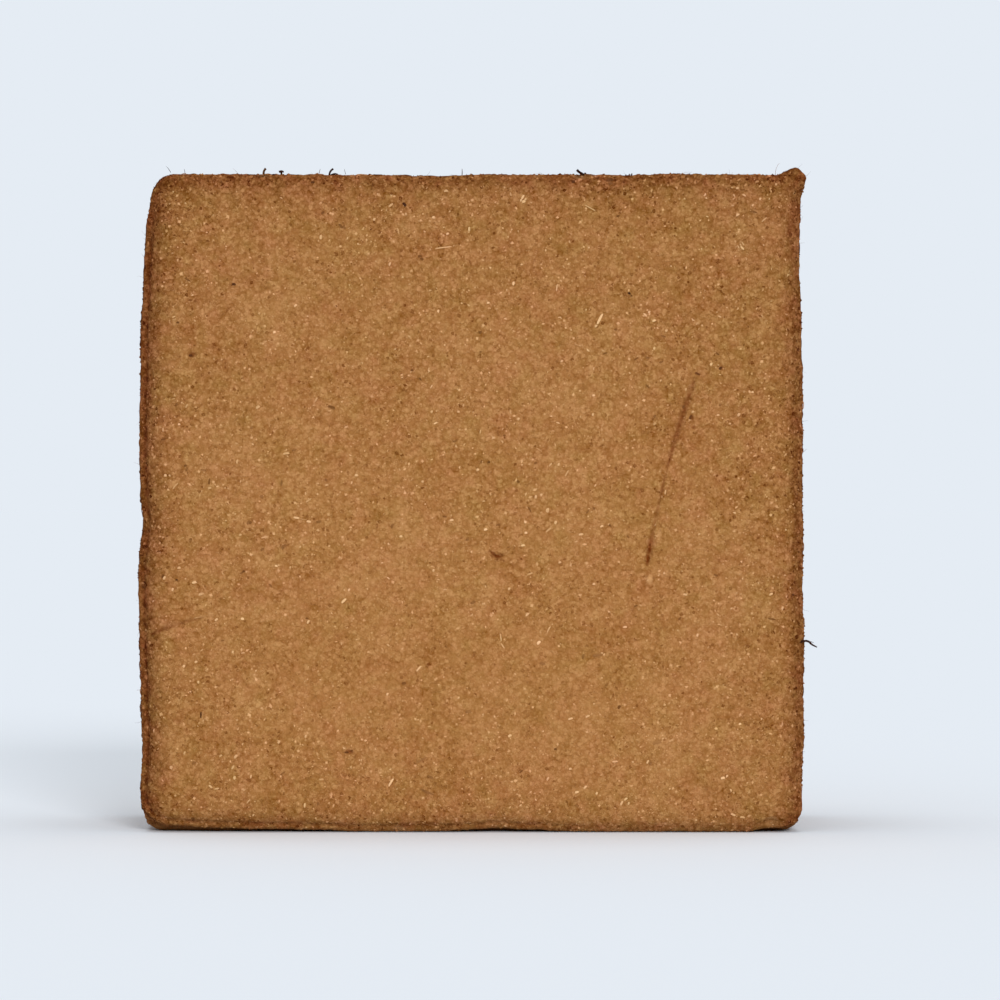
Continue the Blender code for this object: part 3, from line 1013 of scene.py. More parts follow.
    def build(self, finish: bpy.types.Material) -> bpy.types.Object:
        """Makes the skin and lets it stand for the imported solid.

        Args:
            finish: Its material.

        Returns:
            The finished piece.
        """
        block = self.block()
        mesh = bpy.data.meshes.new("bale_skin")
        block.to_mesh(mesh)
        block.free()
        places, tints = self.press(vectors(mesh.vertices, "co"))
        low, high = (np.array(corner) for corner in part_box(NODE))
        middle = (places.min(axis=0) + places.max(axis=0)) / 2.0
        places += (low + high) / 2.0 - middle
        places[:, 2] += low[2] - places[:, 2].min()
        mesh.vertices.foreach_set("co", places.ravel())
        add_tints(mesh, tints)
        mesh.update()
        mesh.shade_smooth()
        skin = piece("bale_skin", mesh, finish)
        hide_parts(NODE)
        return skin


def vectors(items: bpy.types.bpy_prop_collection, name: str, kind: type = np.float32) -> Array:
    """Reads a vector of every item of a mesh.

    Args:
        items: The items.
        name: What to read of each.
        kind: The kind of number that it holds.

    Returns:
        The vectors, one in each row.
    """
    found = np.empty(3 * len(items), kind)
    items.foreach_get(name, found)
    return found.reshape(-1, 3).astype(float if kind is np.float32 else int)


def add_tints(mesh: bpy.types.Mesh, tints: dict[str, Array]) -> None:
    """Stores named values at the points of a mesh, for its material to read.

    Args:
        mesh: The mesh.
        tints: The values of each name.
    """
    for name, values in tints.items():
        layer = mesh.attributes.new(name, "FLOAT", "POINT")
        layer.data.foreach_set("value", np.asarray(values, np.float32).ravel())


def piece(name: str, mesh: bpy.types.Mesh, finish: bpy.types.Material) -> bpy.types.Object:
    """Makes a mesh into a piece of the bale.

    Args:
        name: The piece's name.
        mesh: Its mesh, in place.
        finish: Its material.

    Returns:
        The object, which rides on the bale's one body.
    """
    mesh.materials.append(finish)
    thing = bpy.data.objects.new(name, mesh)
    bpy.context.scene.collection.objects.link(thing)
    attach(thing, "root")
    mesh.calc_loop_triangles()
    log.info("%s: %d triangles", name, len(mesh.loop_triangles))
    return thing


@dataclass
class Places:
    """Places on the skin: points, the skin's directions there, and its tints."""

    spots: Array
    normals: Array
    tints: dict[str, Array]


class SkinSurface:
    """The finished skin's triangles and tints, for laying things on it."""

    wall_tint = 0.05
    broad_tilt = 0.4
    base_tilt = -0.5
    base_height = 0.003
    edge_gathering = 0.9
    edge_reach = 0.035
    patch_strength = 0.7
    patch_pitch = 0.030
    cluster_pitch = 0.0062
    least_patch = 0.1
    least_cluster = 0.05

    def __init__(self, skin: bpy.types.Object) -> None:
        """Reads the skin's mesh.

        Args:
            skin: The finished skin.
        """
        mesh = skin.data
        mesh.calc_loop_triangles()
        self.points = vectors(mesh.vertices, "co")
        self.corners = vectors(mesh.loop_triangles, "vertices", np.int32)
        self.tints = {}
        for name in TINTS:
            values = np.empty(len(mesh.vertices), np.float32)
            mesh.attributes[name].data.foreach_get("value", values)
            self.tints[name] = values.astype(float)
        self.tree = BVHTree.FromPolygons(self.points.tolist(), self.corners.tolist())
        first, second, third = (self.points[self.corners[:, i]] for i in range(3))
        crossed = np.cross(second - first, third - first)
        self.areas = np.linalg.norm(crossed, axis=1) / 2.0
        self.normals = unit(crossed)
        self.middles = (first + second + third) / 3.0

    def weights(self, region: Region) -> Array:
        """Weighs the triangles of one region.

        Args:
            region: The region.

        Returns:
            The area of each triangle that belongs to it, and 0 for the others.
        """
        wall = self.tints["side"][self.corners].mean(axis=1) >= self.wall_tint
        broad = np.abs(self.normals[:, 1]) > self.broad_tilt
        base = (self.normals[:, 2] < self.base_tilt) & (self.middles[:, 2] < self.base_height)
        belongs = {
            Region.FRONT: ~wall & (self.middles[:, 1] < 0.0) & broad,
            Region.REAR: ~wall & (self.middles[:, 1] > 0.0) & broad,
            Region.SIDES: (wall | ~broad) & ~base,
        }[region]
        return self.areas * belongs

    def density(self, seed: int, clusters: float) -> Array:
        """Finds how thickly small things lie on each triangle.

        They lie in wide patches and in clusters, and thicker towards the four sides.

        Args:
            seed: Number that tells one spread from another.
            clusters: How strongly they gather in clusters.

        Returns:
            The density, about 1 in the middle of a broad face.
        """
        low, high = (np.array(corner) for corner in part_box(NODE))
        gap = np.minimum(self.middles - low, high - self.middles)[:, (0, 2)].min(axis=1)
        edges = 1.0 + self.edge_gathering * np.exp(-np.clip(gap, 0.0, None) / self.edge_reach)
        wide = Wander(self.patch_strength, self.patch_pitch, float(seed)).over(self.middles)
        close = Wander(clusters, self.cluster_pitch, float(seed) + 0.5).over(self.middles)
        patches = np.clip(1.0 + wide, self.least_patch, None)
        return edges * patches * np.clip(1.0 + close, self.least_cluster, None)

    def scatter(self, weights: Array, count: int, rng: np.random.Generator) -> Places:
        """Picks random places on the skin.

        Args:
            weights: How likely each triangle is.
            count: How many places.
            rng: Source of the random draws.

        Returns:
            The places.
        """
        chosen = rng.choice(len(weights), size=count, p=weights / weights.sum())
        parts = rng.dirichlet((1.0, 1.0, 1.0), size=count)
        corners = self.corners[chosen]
        spots = (self.points[corners] * parts[:, :, None]).sum(axis=1)
        tints = {name: (values[corners] * parts).sum(axis=1) for name, values in self.tints.items()}
        return Places(spots, self.normals[chosen], tints)

    def under(self, spots: Array) -> Places:
        """Finds the nearest places on the skin.

        Args:
            spots: Points off the skin, one in each row.

        Returns:
            The nearest place to each.
        """
        found = [self.tree.find_nearest(spot) for spot in spots.tolist()]
        index = np.array([hit[2] for hit in found])
        tints = {name: values[self.corners[index]].mean(axis=1) for name, values in self.tints.items()}
        return Places(np.array([hit[0][:] for hit in found]), self.normals[index], tints)


@dataclass(frozen=True)
class Template:
    """A small shape to copy: its points along X from -1 to 1, and its triangles."""

    points: Array
    triangles: Array

    @classmethod
    def of(cls, speck: Speck) -> "Template":
        """Models one of the small shapes.

        Args:
            speck: Which one.

        Returns:
            Its template.
        """
        shape = bmesh.new()
        if speck is Speck.CRUMB:
            bmesh.ops.create_uvsphere(shape, u_segments=4, v_segments=2, radius=1.0)
        else:
            turn = Matrix.Rotation(math.pi / 2.0, 4, "Y")
            bmesh.ops.create_cone(
                shape, cap_ends=True, segments=3, radius1=1.0, radius2=1.0, depth=2.0, matrix=turn
            )
            long = [e for e in shape.edges if abs(e.verts[0].co.x - e.verts[1].co.x) > 1.0]
            bmesh.ops.subdivide_edges(shape, edges=long, cuts=JOINTS[speck], use_grid_fill=True)
        bmesh.ops.triangulate(shape, faces=shape.faces[:])
        bmesh.ops.recalc_face_normals(shape, faces=shape.faces[:])
        points = np.array([vertex.co[:] for vertex in shape.verts])
        triangles = np.array([[vertex.index for vertex in face.verts] for face in shape.faces])
        shape.free()
        return cls(points, triangles)

    def joints(self) -> Array:
        """Places along X of the template's rings of points."""
        return np.unique(self.points[:, 0].round(PLACE_DIGITS))

    def bent(self, paths: Array, radii: Array, flatness: float) -> Array:
        """Bends copies of a rod along paths.

        Args:
            paths: One path for each copy, with a point for each of the rod's rings.
            radii: Radius of every copy at each of those points.
            flatness: Height of a strand as a share of its width.

        Returns:
            The points of every copy, as (copy, point, xyz).
        """
        ahead = np.empty_like(paths)
        ahead[:, 1:-1] = paths[:, 2:] - paths[:, :-2]
        ahead[:, 0] = paths[:, 1] - paths[:, 0]
        ahead[:, -1] = paths[:, -1] - paths[:, -2]
        ahead = unit(ahead)
        along_depth = np.abs(ahead[..., 1:2]) > ALONG_AXIS
        beside = unit(np.cross(ahead, np.where(along_depth, (0.0, 0.0, 1.0), (0.0, 1.0, 0.0))))
        above = np.cross(beside, ahead)
        ring = np.searchsorted(self.joints(), self.points[:, 0].round(PLACE_DIGITS))
        out = beside[:, ring] * self.points[:, 1:2] + above[:, ring] * self.points[:, 2:3] * flatness
        return paths[:, ring] + out * radii[:, ring, None]


@dataclass(frozen=True)
class Copies:
    """Copies of a small shape.

    Their points are (copy, point, xyz), and their tints are named values, one for each
    copy or one for each of its points.
    """

    template: Template
    points: Array
    tints: dict[str, Array]

    def mesh(self, name: str) -> bpy.types.Mesh:
        """Joins the copies into one mesh, with a tile of its map for each.

        Args:
            name: The mesh's name.

        Returns:
            The mesh.
        """
        count, corners = self.points.shape[:2]
        self.points[..., 2] = np.maximum(self.points[..., 2], OFF_FLOOR)
        steps = corners * np.arange(count)[:, None, None]
        faces = (self.template.triangles[None] + steps).reshape(-1, 3)
        mesh = bpy.data.meshes.new(name)
        mesh.from_pydata(self.points.reshape(-1, 3).tolist(), [], faces.tolist())
        every = np.zeros(corners)
        add_tints(mesh, {key: values.reshape(count, -1) + every for key, values in self.tints.items()})
        tiles = math.ceil(math.sqrt(count))
        index = np.arange(count)
        tile = rows(index % tiles, index // tiles)
        plan = self.template.points[:, (0, 1)]
        flat = 0.5 + TILE_FILL * plan / np.abs(plan).max(axis=0)
        spread = ((tile[:, None] + flat[None]) / tiles)[:, self.template.triangles].reshape(-1, 2)
        layer = mesh.uv_layers.new(name=BAKE_MAP)
        layer.uv.foreach_set("vector", spread.astype(np.float32).ravel())
        return mesh


@dataclass(frozen=True)
class Laid(ABC):
    """Many small things that lie on the skin or grow from it, as one piece."""

    name: str

    @abstractmethod
    def copies(self, surface: SkinSurface) -> Copies:
        """Places the small things on the skin."""

    def build(self, surface: SkinSurface, finish: bpy.types.Material) -> bpy.types.Object:
        """Makes the piece that joins them all, in the given finish."""
        return piece(self.name, self.copies(surface).mesh(self.name), finish)


def tangents(normals: Array, rng: np.random.Generator, level: float = 0.0) -> Array:
    """Draws random directions along the skin.

    Args:
        normals: The skin's directions.
        rng: Source of the random draws.
        level: Share by which they turn into the pressing layers, across the Y axis.

    Returns:
        One direction for each normal, at right angles to it.
    """
    wild = rng.normal(size=normals.shape) * np.array((1.0, 1.0 - level, 1.0))
    return unit(wild - normals * (wild * normals).sum(axis=1, keepdims=True))


@dataclass(frozen=True)
class Crumbs(Laid):
    """Crumbs of pith, pressed half way into the skin.

    Their painted shading is the shade and light painted into their tone: what it gains at the
    rim, where they sink in, and on top. Each is shortened by a random share, and each of its
    corners is pulled in or pushed out.
    """

    region: Region
    count: int
    length: Span
    slimness: Span
    height: Span
    tone: Span
    seed: int
    clusters: float = 0.5
    # Painted shade at the rim, where they sink in, and painted light on top.
    painted_shading: Span = (-0.10, 0.08)
    shortening: Span = (0.6, 1.0)
    roughness: Span = (0.65, 1.25)

    def copies(self, surface: SkinSurface) -> Copies:
        """Scatters the crumbs.

        Args:
            surface: The skin.

        Returns:
            The crumbs.
        """
        rng = np.random.default_rng(self.seed)
        template = Template.of(Speck.CRUMB)
        weights = surface.weights(self.region) * surface.density(self.seed, self.clusters)
        places = surface.scatter(weights, self.count, rng)
        along = tangents(places.normals, rng)
        beside = np.cross(places.normals, along)
        length = rng.uniform(*self.length, self.count) * rng.uniform(*self.shortening, self.count)
        width = length * rng.uniform(*self.slimness, self.count)
        height = rng.uniform(*self.height, self.count)
        rough = template.points[None] * rng.uniform(*self.roughness, (self.count, len(template.points), 1))
        half_length = along * length[:, None] / 2.0
        half_width = beside * width[:, None] / 2.0
        points = places.spots[:, None]
        for axis, way in enumerate((half_length, half_width, places.normals * height[:, None])):
            points = points + rough[..., axis, None] * way[:, None]
        tone = uneven_tones(rng, self.tone, self.count)[:, None]
        tone = tone + np.interp(np.abs(template.points[:, 2]), (0.0, 1.0), self.painted_shading)
        return Copies(template, points, {**places.tints, "tone": tone})


def taper(joints: Array, blunt: float = 0.25) -> Array:
    """Thickness of a strand along its joints, as a share, thin at both ends."""
    return blunt + (1.0 - blunt) * np.sqrt(np.clip(1.0 - joints**2, 0.0, 1.0))


def pressed_in(surface: SkinSurface, paths: Array, joints: Array, lift: float, dip: float) -> Array:
    """Lays paths down on the skin, with their ends pressed into it.

    Args:
        surface: The skin.
        paths: The paths, as (path, joint, xyz).
        joints: Places of the points along each path, from -1 to 1.
        lift: Height of their middles above the skin.
        dip: How far their ends dip below their middles, as a share of that height.

    Returns:
        The paths as they lie on the skin.
    """
    landed = surface.under(paths.reshape(-1, 3))
    rise = np.tile(1.0 - dip * np.abs(joints) ** 3, len(paths))
    return (landed.spots + landed.normals * rise[:, None] * lift).reshape(paths.shape)


@dataclass(frozen=True)
class Fibres(Laid):
    """Short lengths of fibre that lie in the skin, most of them near the least length."""

    region: Region
    speck: Speck
    count: int
    length: Span
    width: Span
    tone: Span
    seed: int
    lift: float = 0.00012
    dip: float = 2.0
    bend: float = 0.12
    bow_middle: float = 0.33
    length_spread: Span = (1.2, 3.0)
    level: float = 0.0
    flatness: float = 0.3
    clusters: float = 0.9

    def copies(self, surface: SkinSurface) -> Copies:
        """Scatters the fibres.

        Args:
            surface: The skin.

        Returns:
            The fibres.
        """
        rng = np.random.default_rng(self.seed)
        template = Template.of(self.speck)
        weights = surface.weights(self.region) * surface.density(self.seed, self.clusters)
        places = surface.scatter(weights, self.count, rng)
        along = tangents(places.normals, rng, self.level)
        beside = np.cross(places.normals, along)
        shortest, longest = self.length
        length = shortest + (longest - shortest) * rng.beta(*self.length_spread, self.count)
        width = rng.uniform(*self.width, self.count)
        bend = rng.normal(0.0, self.bend, self.count)
        step = template.joints()[None, :, None]
        straight = step * (along * length[:, None] / 2.0)[:, None]
        aside = (step**2 - self.bow_middle) * (beside * (bend * length)[:, None])[:, None]
        paths = places.spots[:, None] + straight + aside
        paths = pressed_in(surface, paths, template.joints(), self.lift, self.dip)
        radii = taper(template.joints())[None] * width[:, None] / 2.0
        tone = uneven_tones(rng, self.tone, self.count)
        points = template.bent(paths, radii, self.flatness)
        return Copies(template, points, {**places.tints, "tone": tone})


@dataclass(frozen=True)
class HandLaid(Laid):
    """The flecks and specks of the front face that stand out from the rest.

    A mark is (across, up, length, lean, width, tone). Its sizes are whole tenths of a
    millimetre, its lean is in degrees, anticlockwise from level, and its tone is in
    hundredths, from 0, darkest, to 100, palest. Units are how many of each make up one.
    """

    marks: tuple[tuple[int, ...], ...]
    units: tuple[float, ...] = (10000.0, 10000.0, 10000.0, 1.0, 10000.0, 100.0)
    lift: float = 0.00016
    dip: float = 1.6
    flatness: float = 0.3

    def copies(self, surface: SkinSurface) -> Copies:
        """Lays the marks.

        Args:
            surface: The skin.

        Returns:
            The marks.
        """
        template = Template.of(Speck.FIBRE)
        joints = template.joints()
        left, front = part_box(NODE)[0][:2]
        across, up, length, lean, width, tone = (np.array(self.marks) / self.units).T
        lean = np.radians(lean)
        middles = rows(left + across, front, up)
        along = rows(np.cos(lean), 0.0, np.sin(lean)) * length[:, None] / 2.0
        paths = middles[:, None] + joints[None, :, None] * along[:, None]
        paths = pressed_in(surface, paths, joints, self.lift, self.dip)
        points = template.bent(paths, taper(joints)[None] * width[:, None] / 2.0, self.flatness)
        return Copies(template, points, {**surface.under(middles).tints, "tone": tone})


PALE_MARKS = (
    (2058, 2834, 68, -29, 6, 70), (1392, 2654, 86, 7, 7, 76), (1858, 2684, 55, 0, 5, 50),
    (2103, 2329, 64, 63, 14, 90), (2086, 2298, 15, 50, 12, 80), (1156, 229, 47, 59, 12, 90),
    (1754, 2883, 25, 62, 13, 85), (1757, 2862, 18, 20, 16, 95), (1746, 2869, 15, 70, 12, 80),
    (1765, 2872, 15, 60, 11, 75), (2747, 2652, 24, -45, 12, 80), (745, 1424, 72, -10, 5, 55),
    (2400, 1546, 26, 80, 8, 75), (1339, 2024, 22, 60, 7, 75), (1457, 2130, 48, 3, 5, 50),
    (1358, 1858, 22, 25, 9, 86), (1371, 2366, 15, 80, 13, 86), (1561, 1820, 22, 80, 8, 70),
    (575, 771, 120, 3, 5, 35), (481, 970, 17, -10, 14, 91), (296, 1083, 28, 10, 14, 65),
    (166, 1104, 17, 70, 12, 80), (634, 1210, 16, -20, 12, 85), (283, 684, 14, 90, 12, 80),
    (2017, 1353, 24, 10, 12, 76), (2111, 1390, 17, 30, 12, 80), (2489, 1080, 21, -10, 12, 75),
    (2216, 933, 22, 5, 12, 80), (2546, 897, 17, 80, 12, 80), (303, 540, 32, 85, 6, 50),
    (1347, 2789, 17, -20, 11, 80), (1406, 2912, 17, -30, 11, 80), (1152, 2845, 21, 45, 9, 75),
    (1080, 2782, 15, 60, 14, 75), (838, 2702, 24, 85, 14, 75), (1187, 2730, 32, -75, 9, 60),
    (128, 1156, 20, 60, 13, 80), (263, 1135, 23, 10, 14, 85), (295, 1082, 27, 15, 14, 80),
    (277, 976, 46, 10, 7, 55), (364, 967, 20, 40, 12, 80), (357, 952, 32, 10, 7, 55),
    (217, 756, 15, 60, 14, 80), (271, 775, 15, 20, 13, 75), (439, 821, 15, 80, 13, 75),
    (484, 816, 20, 10, 9, 65), (1404, 2911, 20, 20, 12, 75), (1511, 2739, 23, 88, 12, 80),
    (1412, 2716, 15, 30, 13, 80), (1151, 2580, 20, 70, 12, 75), (1348, 2791, 15, 10, 13, 80),
    (1157, 2847, 23, 45, 11, 75), (2348, 2322, 20, 20, 13, 85), (2307, 2349, 23, -45, 11, 80),
    (2327, 2362, 15, 60, 12, 80), (2350, 2197, 15, 80, 13, 80), (2074, 1983, 15, 10, 13, 80),
    (2404, 2278, 15, 60, 12, 80), (1930, 2139, 15, 30, 12, 75), (2816, 2956, 20, 20, 12, 80),
    (2903, 2944, 15, 70, 12, 75), (2726, 2923, 15, 10, 13, 80), (2756, 2891, 20, -30, 11, 75),
    (2830, 2875, 15, 60, 12, 80), (2728, 2802, 20, 30, 12, 80), (2848, 2781, 36, 40, 8, 65),
    (2730, 2657, 20, -62, 6, 70), (2740, 2666, 20, -62, 6, 70), (2750, 2673, 20, -62, 6, 70),
    (1694, 440, 20, 30, 14, 85), (1998, 184, 20, 20, 14, 85), (2037, 207, 23, 45, 12, 80),
    (2089, 179, 15, 70, 13, 80), (1968, 290, 15, 10, 13, 75), (1867, 245, 20, 60, 11, 75),
    (1875, 95, 15, 30, 12, 75), (1859, 73, 46, 50, 6, 55), (2879, 1082, 20, 30, 13, 80),
    (2932, 1019, 20, 70, 12, 75), (1584, 1375, 18, 20, 14, 96), (1765, 1409, 12, 40, 14, 91),
    (1767, 1360, 15, 5, 13, 86), (1754, 1303, 20, 10, 13, 86), (1430, 1418, 20, 5, 12, 80),
    (1867, 1463, 23, 80, 19, 75), (1549, 1646, 15, 20, 14, 80), (1953, 1631, 36, 60, 8, 65),
    (1878, 1669, 23, 50, 8, 70), (1916, 1671, 15, 60, 11, 75), (1813, 1524, 18, 80, 14, 75),
    (1838, 1533, 15, 60, 13, 75), (1903, 1408, 18, 70, 15, 75), (1870, 1374, 36, 40, 10, 65),
    (1921, 1226, 15, 20, 13, 75), (1785, 1174, 36, 25, 10, 65), (1692, 1107, 15, 60, 14, 75),
    (2075, 1128, 14, 0, 13, 80), (2072, 1897, 15, 80, 13, 75), (1734, 1877, 15, 60, 14, 75),
    (1621, 1791, 18, 10, 13, 70), (1300, 1593, 12, 80, 14, 75), (1200, 1344, 15, 0, 14, 80),
    (1349, 1191, 15, 80, 13, 75), (1826, 1738, 36, -35, 7, 55), (1912, 1859, 20, -20, 9, 70),
    (1341, 1910, 15, 60, 13, 70), (1461, 1909, 14, 0, 13, 70), (2608, 2125, 15, 60, 14, 85),
    (2794, 1998, 14, 0, 12, 80), (2733, 1896, 18, 60, 15, 75), (2638, 1894, 15, 10, 11, 75),
    (2524, 1909, 15, 20, 12, 70), (2352, 1855, 18, 40, 14, 65), (2493, 2011, 14, 70, 12, 70),
    (2406, 2278, 15, 60, 13, 70), (2692, 1855, 14, 0, 11, 70), (552, 1930, 23, 30, 17, 66),
    (194, 1852, 13, 0, 12, 85), (680, 1720, 32, 8, 13, 70), (459, 1684, 23, 80, 13, 66),
    (132, 1620, 16, 0, 15, 82), (178, 1574, 41, 48, 8, 64), (333, 1563, 18, 20, 14, 66),
    (782, 1508, 36, 35, 9, 64), (727, 1428, 32, -8, 12, 78), (782, 1411, 23, -10, 13, 82),
    (998, 1621, 17, 0, 16, 74), (864, 1577, 18, 20, 13, 66), (582, 1340, 36, 8, 9, 66),
    (823, 1372, 14, 0, 12, 66), (229, 1936, 23, 60, 10, 64), (816, 1964, 27, 60, 10, 64),
    (952, 1840, 18, 20, 12, 66), (194, 1201, 18, 10, 14, 66), (472, 1351, 15, 20, 13, 66),
    (160, 297, 18, 80, 17, 72), (452, 346, 23, 50, 15, 74), (439, 297, 23, 60, 11, 70),
    (447, 250, 19, 80, 15, 80), (521, 256, 18, 80, 10, 76), (336, 210, 23, -40, 11, 76),
    (365, 200, 27, 10, 9, 72), (765, 125, 24, 85, 11, 80), (648, 412, 18, 60, 15, 70),
    (769, 438, 18, 70, 11, 72), (530, 74, 18, 60, 13, 72), (383, 349, 18, 30, 12, 68),
    (220, 363, 18, 70, 11, 68), (509, 143, 27, 50, 8, 68), (839, 242, 23, 10, 11, 66),
    (942, 1052, 32, 45, 14, 92), (966, 1102, 15, 60, 12, 85), (1826, 862, 23, 50, 17, 98),
    (1871, 923, 36, 62, 9, 72), (1774, 990, 23, 40, 12, 80), (1652, 887, 41, -82, 8, 75),
    (1661, 848, 32, -55, 9, 72), (1282, 745, 36, 48, 11, 85), (781, 957, 20, 60, 13, 85),
    (1712, 2492, 20, 80, 14, 95), (1908, 2473, 36, 84, 8, 75), (627, 2270, 15, 30, 14, 92),
    (723, 2391, 18, 40, 12, 80), (1596, 2403, 15, 10, 12, 85), (2660, 248, 23, 15, 15, 95),
    (2679, 257, 15, 50, 11, 80), (2738, 493, 14, 20, 13, 92), (2202, 135, 25, 62, 12, 80),
    (2220, 153, 21, 40, 12, 82), (2234, 134, 16, 70, 11, 78), (2706, 82, 27, -22, 13, 75),
    (2749, 69, 27, -12, 12, 72), (1969, 517, 25, 18, 12, 82), (2047, 528, 23, 25, 12, 76),
    (1140, 629, 15, 60, 13, 82), (2171, 323, 29, 4, 11, 76), (2320, 322, 20, 62, 11, 82),
)
DARK_MARKS = (
    (1215, 2849, 25, -50, 16, 22), (1295, 2602, 18, -30, 13, 49), (442, 2487, 21, 0, 14, 22),
    (2235, 2446, 16, -30, 12, 12), (2245, 2436, 12, -50, 9, 42), (2185, 2797, 20, 20, 10, 47),
    (247, 2166, 16, 10, 13, 42), (954, 365, 20, 5, 10, 39), (976, 371, 14, 15, 9, 47),
    (883, 1927, 46, -20, 8, 57), (294, 535, 34, 88, 8, 12), (1250, 2097, 14, 0, 11, 42),
    (1287, 2058, 20, -45, 8, 52), (1561, 2181, 12, 0, 9, 52), (1556, 2271, 16, -40, 8, 49),
    (943, 2745, 18, -40, 11, 55), (799, 2952, 18, 0, 11, 42), (488, 1186, 16, 30, 12, 39),
    (476, 1178, 20, 15, 10, 57), (183, 1147, 12, 0, 10, 25), (608, 1122, 20, -40, 10, 57),
    (774, 972, 16, 0, 10, 45), (391, 872, 20, 5, 7, 49), (1670, 1802, 14, 0, 10, 57),
    (2148, 1394, 18, -45, 9, 52), (2230, 1343, 16, -30, 10, 55), (2628, 1168, 22, -30, 10, 52),
    (2266, 1029, 20, 20, 9, 52), (2465, 972, 20, 50, 10, 55), (188, 2314, 14, 0, 11, 37),
    (232, 2509, 36, -30, 8, 49), (121, 1164, 18, 60, 10, 47), (2175, 2283, 18, 10, 10, 47),
    (2125, 2174, 27, 20, 8, 49), (2268, 2150, 27, 30, 8, 49), (2317, 2025, 23, -40, 8, 52),
    (2799, 2816, 41, -15, 10, 55), (1901, 379, 14, 0, 12, 37), (1746, 278, 23, 40, 9, 49),
    (2883, 969, 41, -10, 8, 49), (2994, 1079, 14, 0, 11, 38), (3000, 2903, 20, 80, 16, 42),
    (1983, 2956, 18, 10, 16, 45), (1598, 1681, 14, 0, 14, 42), (1565, 1683, 18, 80, 9, 55),
    (1731, 1593, 18, -30, 13, 49), (1812, 1677, 18, 10, 12, 55), (1398, 1434, 23, -10, 9, 49),
    (1444, 1775, 23, 10, 9, 59), (1783, 1467, 36, -60, 7, 49), (2075, 1472, 18, -40, 11, 52),
    (2048, 1457, 23, 50, 9, 57), (1502, 1330, 18, 10, 12, 55), (1641, 1397, 23, 20, 9, 57),
    (2148, 2968, 36, 10, 22, 52), (2150, 2946, 23, 0, 14, 60), (2650, 2107, 18, 60, 16, 42),
    (2545, 2082, 27, -25, 11, 50), (2514, 1884, 23, 70, 16, 50), (2484, 1932, 18, 60, 14, 60),
    (2635, 2172, 23, -30, 10, 55), (2381, 2135, 23, 20, 10, 55), (2319, 2154, 23, 0, 9, 60),
    (2318, 2025, 27, -45, 9, 55), (2390, 2252, 27, -15, 9, 55), (2352, 1889, 18, 60, 14, 58),
    (2649, 1941, 18, 40, 11, 58), (223, 1665, 15, 0, 13, 42), (229, 1648, 23, 60, 7, 55),
    (305, 1645, 32, -12, 10, 58), (332, 1594, 32, 85, 11, 46), (660, 1588, 36, 88, 9, 60),
    (519, 1406, 16, 40, 15, 50), (247, 1331, 14, 0, 13, 55), (568, 1525, 18, 10, 14, 60),
    (524, 1837, 18, 30, 11, 60), (455, 1877, 36, 48, 6, 60), (715, 1735, 23, 10, 8, 55),
    (828, 1411, 27, 5, 13, 60), (860, 1600, 18, -50, 11, 60), (121, 1784, 27, 5, 9, 50),
    (183, 1943, 14, 0, 12, 58), (669, 1294, 27, 60, 9, 60), (255, 39, 27, 80, 23, 45),
    (665, 270, 32, 35, 9, 58), (261, 316, 23, 30, 10, 60), (825, 132, 18, 80, 11, 60),
    (885, 1931, 39, -18, 12, 38), (1162, 1392, 27, 60, 15, 60), (671, 1300, 30, 20, 16, 60),
    (572, 1285, 23, 40, 14, 62), (509, 1408, 23, 60, 14, 58), (1527, 1044, 27, 20, 14, 62),
    (1214, 678, 23, 10, 15, 54), (926, 2752, 30, -48, 14, 46), (847, 2812, 20, 40, 13, 54),
    (1286, 2614, 21, 10, 15, 54), (1561, 2269, 16, 50, 14, 50), (2093, 806, 55, 7, 14, 68),
    (2028, 800, 25, 75, 13, 62), (2191, 570, 20, 60, 17, 42), (1506, 549, 32, 8, 17, 68),
    (1842, 768, 30, -18, 14, 66), (1333, 253, 36, -20, 13, 60), (1318, 185, 73, -23, 12, 64),
    (1292, 329, 68, 29, 12, 72), (2362, 409, 50, 8, 18, 76), (2333, 315, 20, 52, 11, 58),
)


@dataclass(frozen=True)
class EdgeHairs(Laid):
    """Stray hairs of fibre that stand out from the edges of the broad faces."""

    name: str = "edge_hairs"
    count: int = 190
    length: Span = (0.0012, 0.0040)
    width: Span = (0.00010, 0.00022)
    spread: float = 0.9
    droop: float = 0.35
    curl: float = 0.60
    thinning: float = 0.7
    tone: Span = (0.30, 1.00)
    dark_rim: float = 0.5
    plain_share: float = 0.05
    lowest: float = 0.004
    seed: int = 611

    def copies(self, surface: SkinSurface) -> Copies:
        """Grows the hairs.

        Args:
            surface: The skin.

        Returns:
            The hairs.
        """
        rng = np.random.default_rng(self.seed)
        template = Template.of(Speck.HAIR)
        joints = (template.joints() + 1.0) / 2.0
        rim = surface.tints["rim"][surface.corners].mean(axis=1)
        front_rim = surface.weights(Region.FRONT) * (rim > self.dark_rim)
        above_floor = surface.middles[:, 2] > self.lowest
        weights = (surface.weights(Region.SIDES) + front_rim) * above_floor * (self.plain_share + rim)
        places = surface.scatter(weights, self.count, rng)
        ahead = unit(places.normals + self.spread * tangents(places.normals, rng))
        turn = tangents(ahead, rng)
        length = rng.uniform(*self.length, self.count)
        curl = length * rng.normal(0.0, self.curl, self.count)
        droop = length * self.droop * rng.uniform(0, 1, self.count)
        step = joints[None, :, None]
        paths = places.spots[:, None] + step * (ahead * length[:, None])[:, None]
        paths += step**2 * (turn * curl[:, None])[:, None]
        paths[..., 2] -= joints[None] ** 2 * droop[:, None]
        radii = rng.uniform(*self.width, self.count)[:, None] / 2.0 * (1.0 - self.thinning * joints[None])
        tone = rng.uniform(*self.tone, self.count)
        return Copies(template, template.bent(paths, radii, 1.0), {**places.tints, "tone": tone})


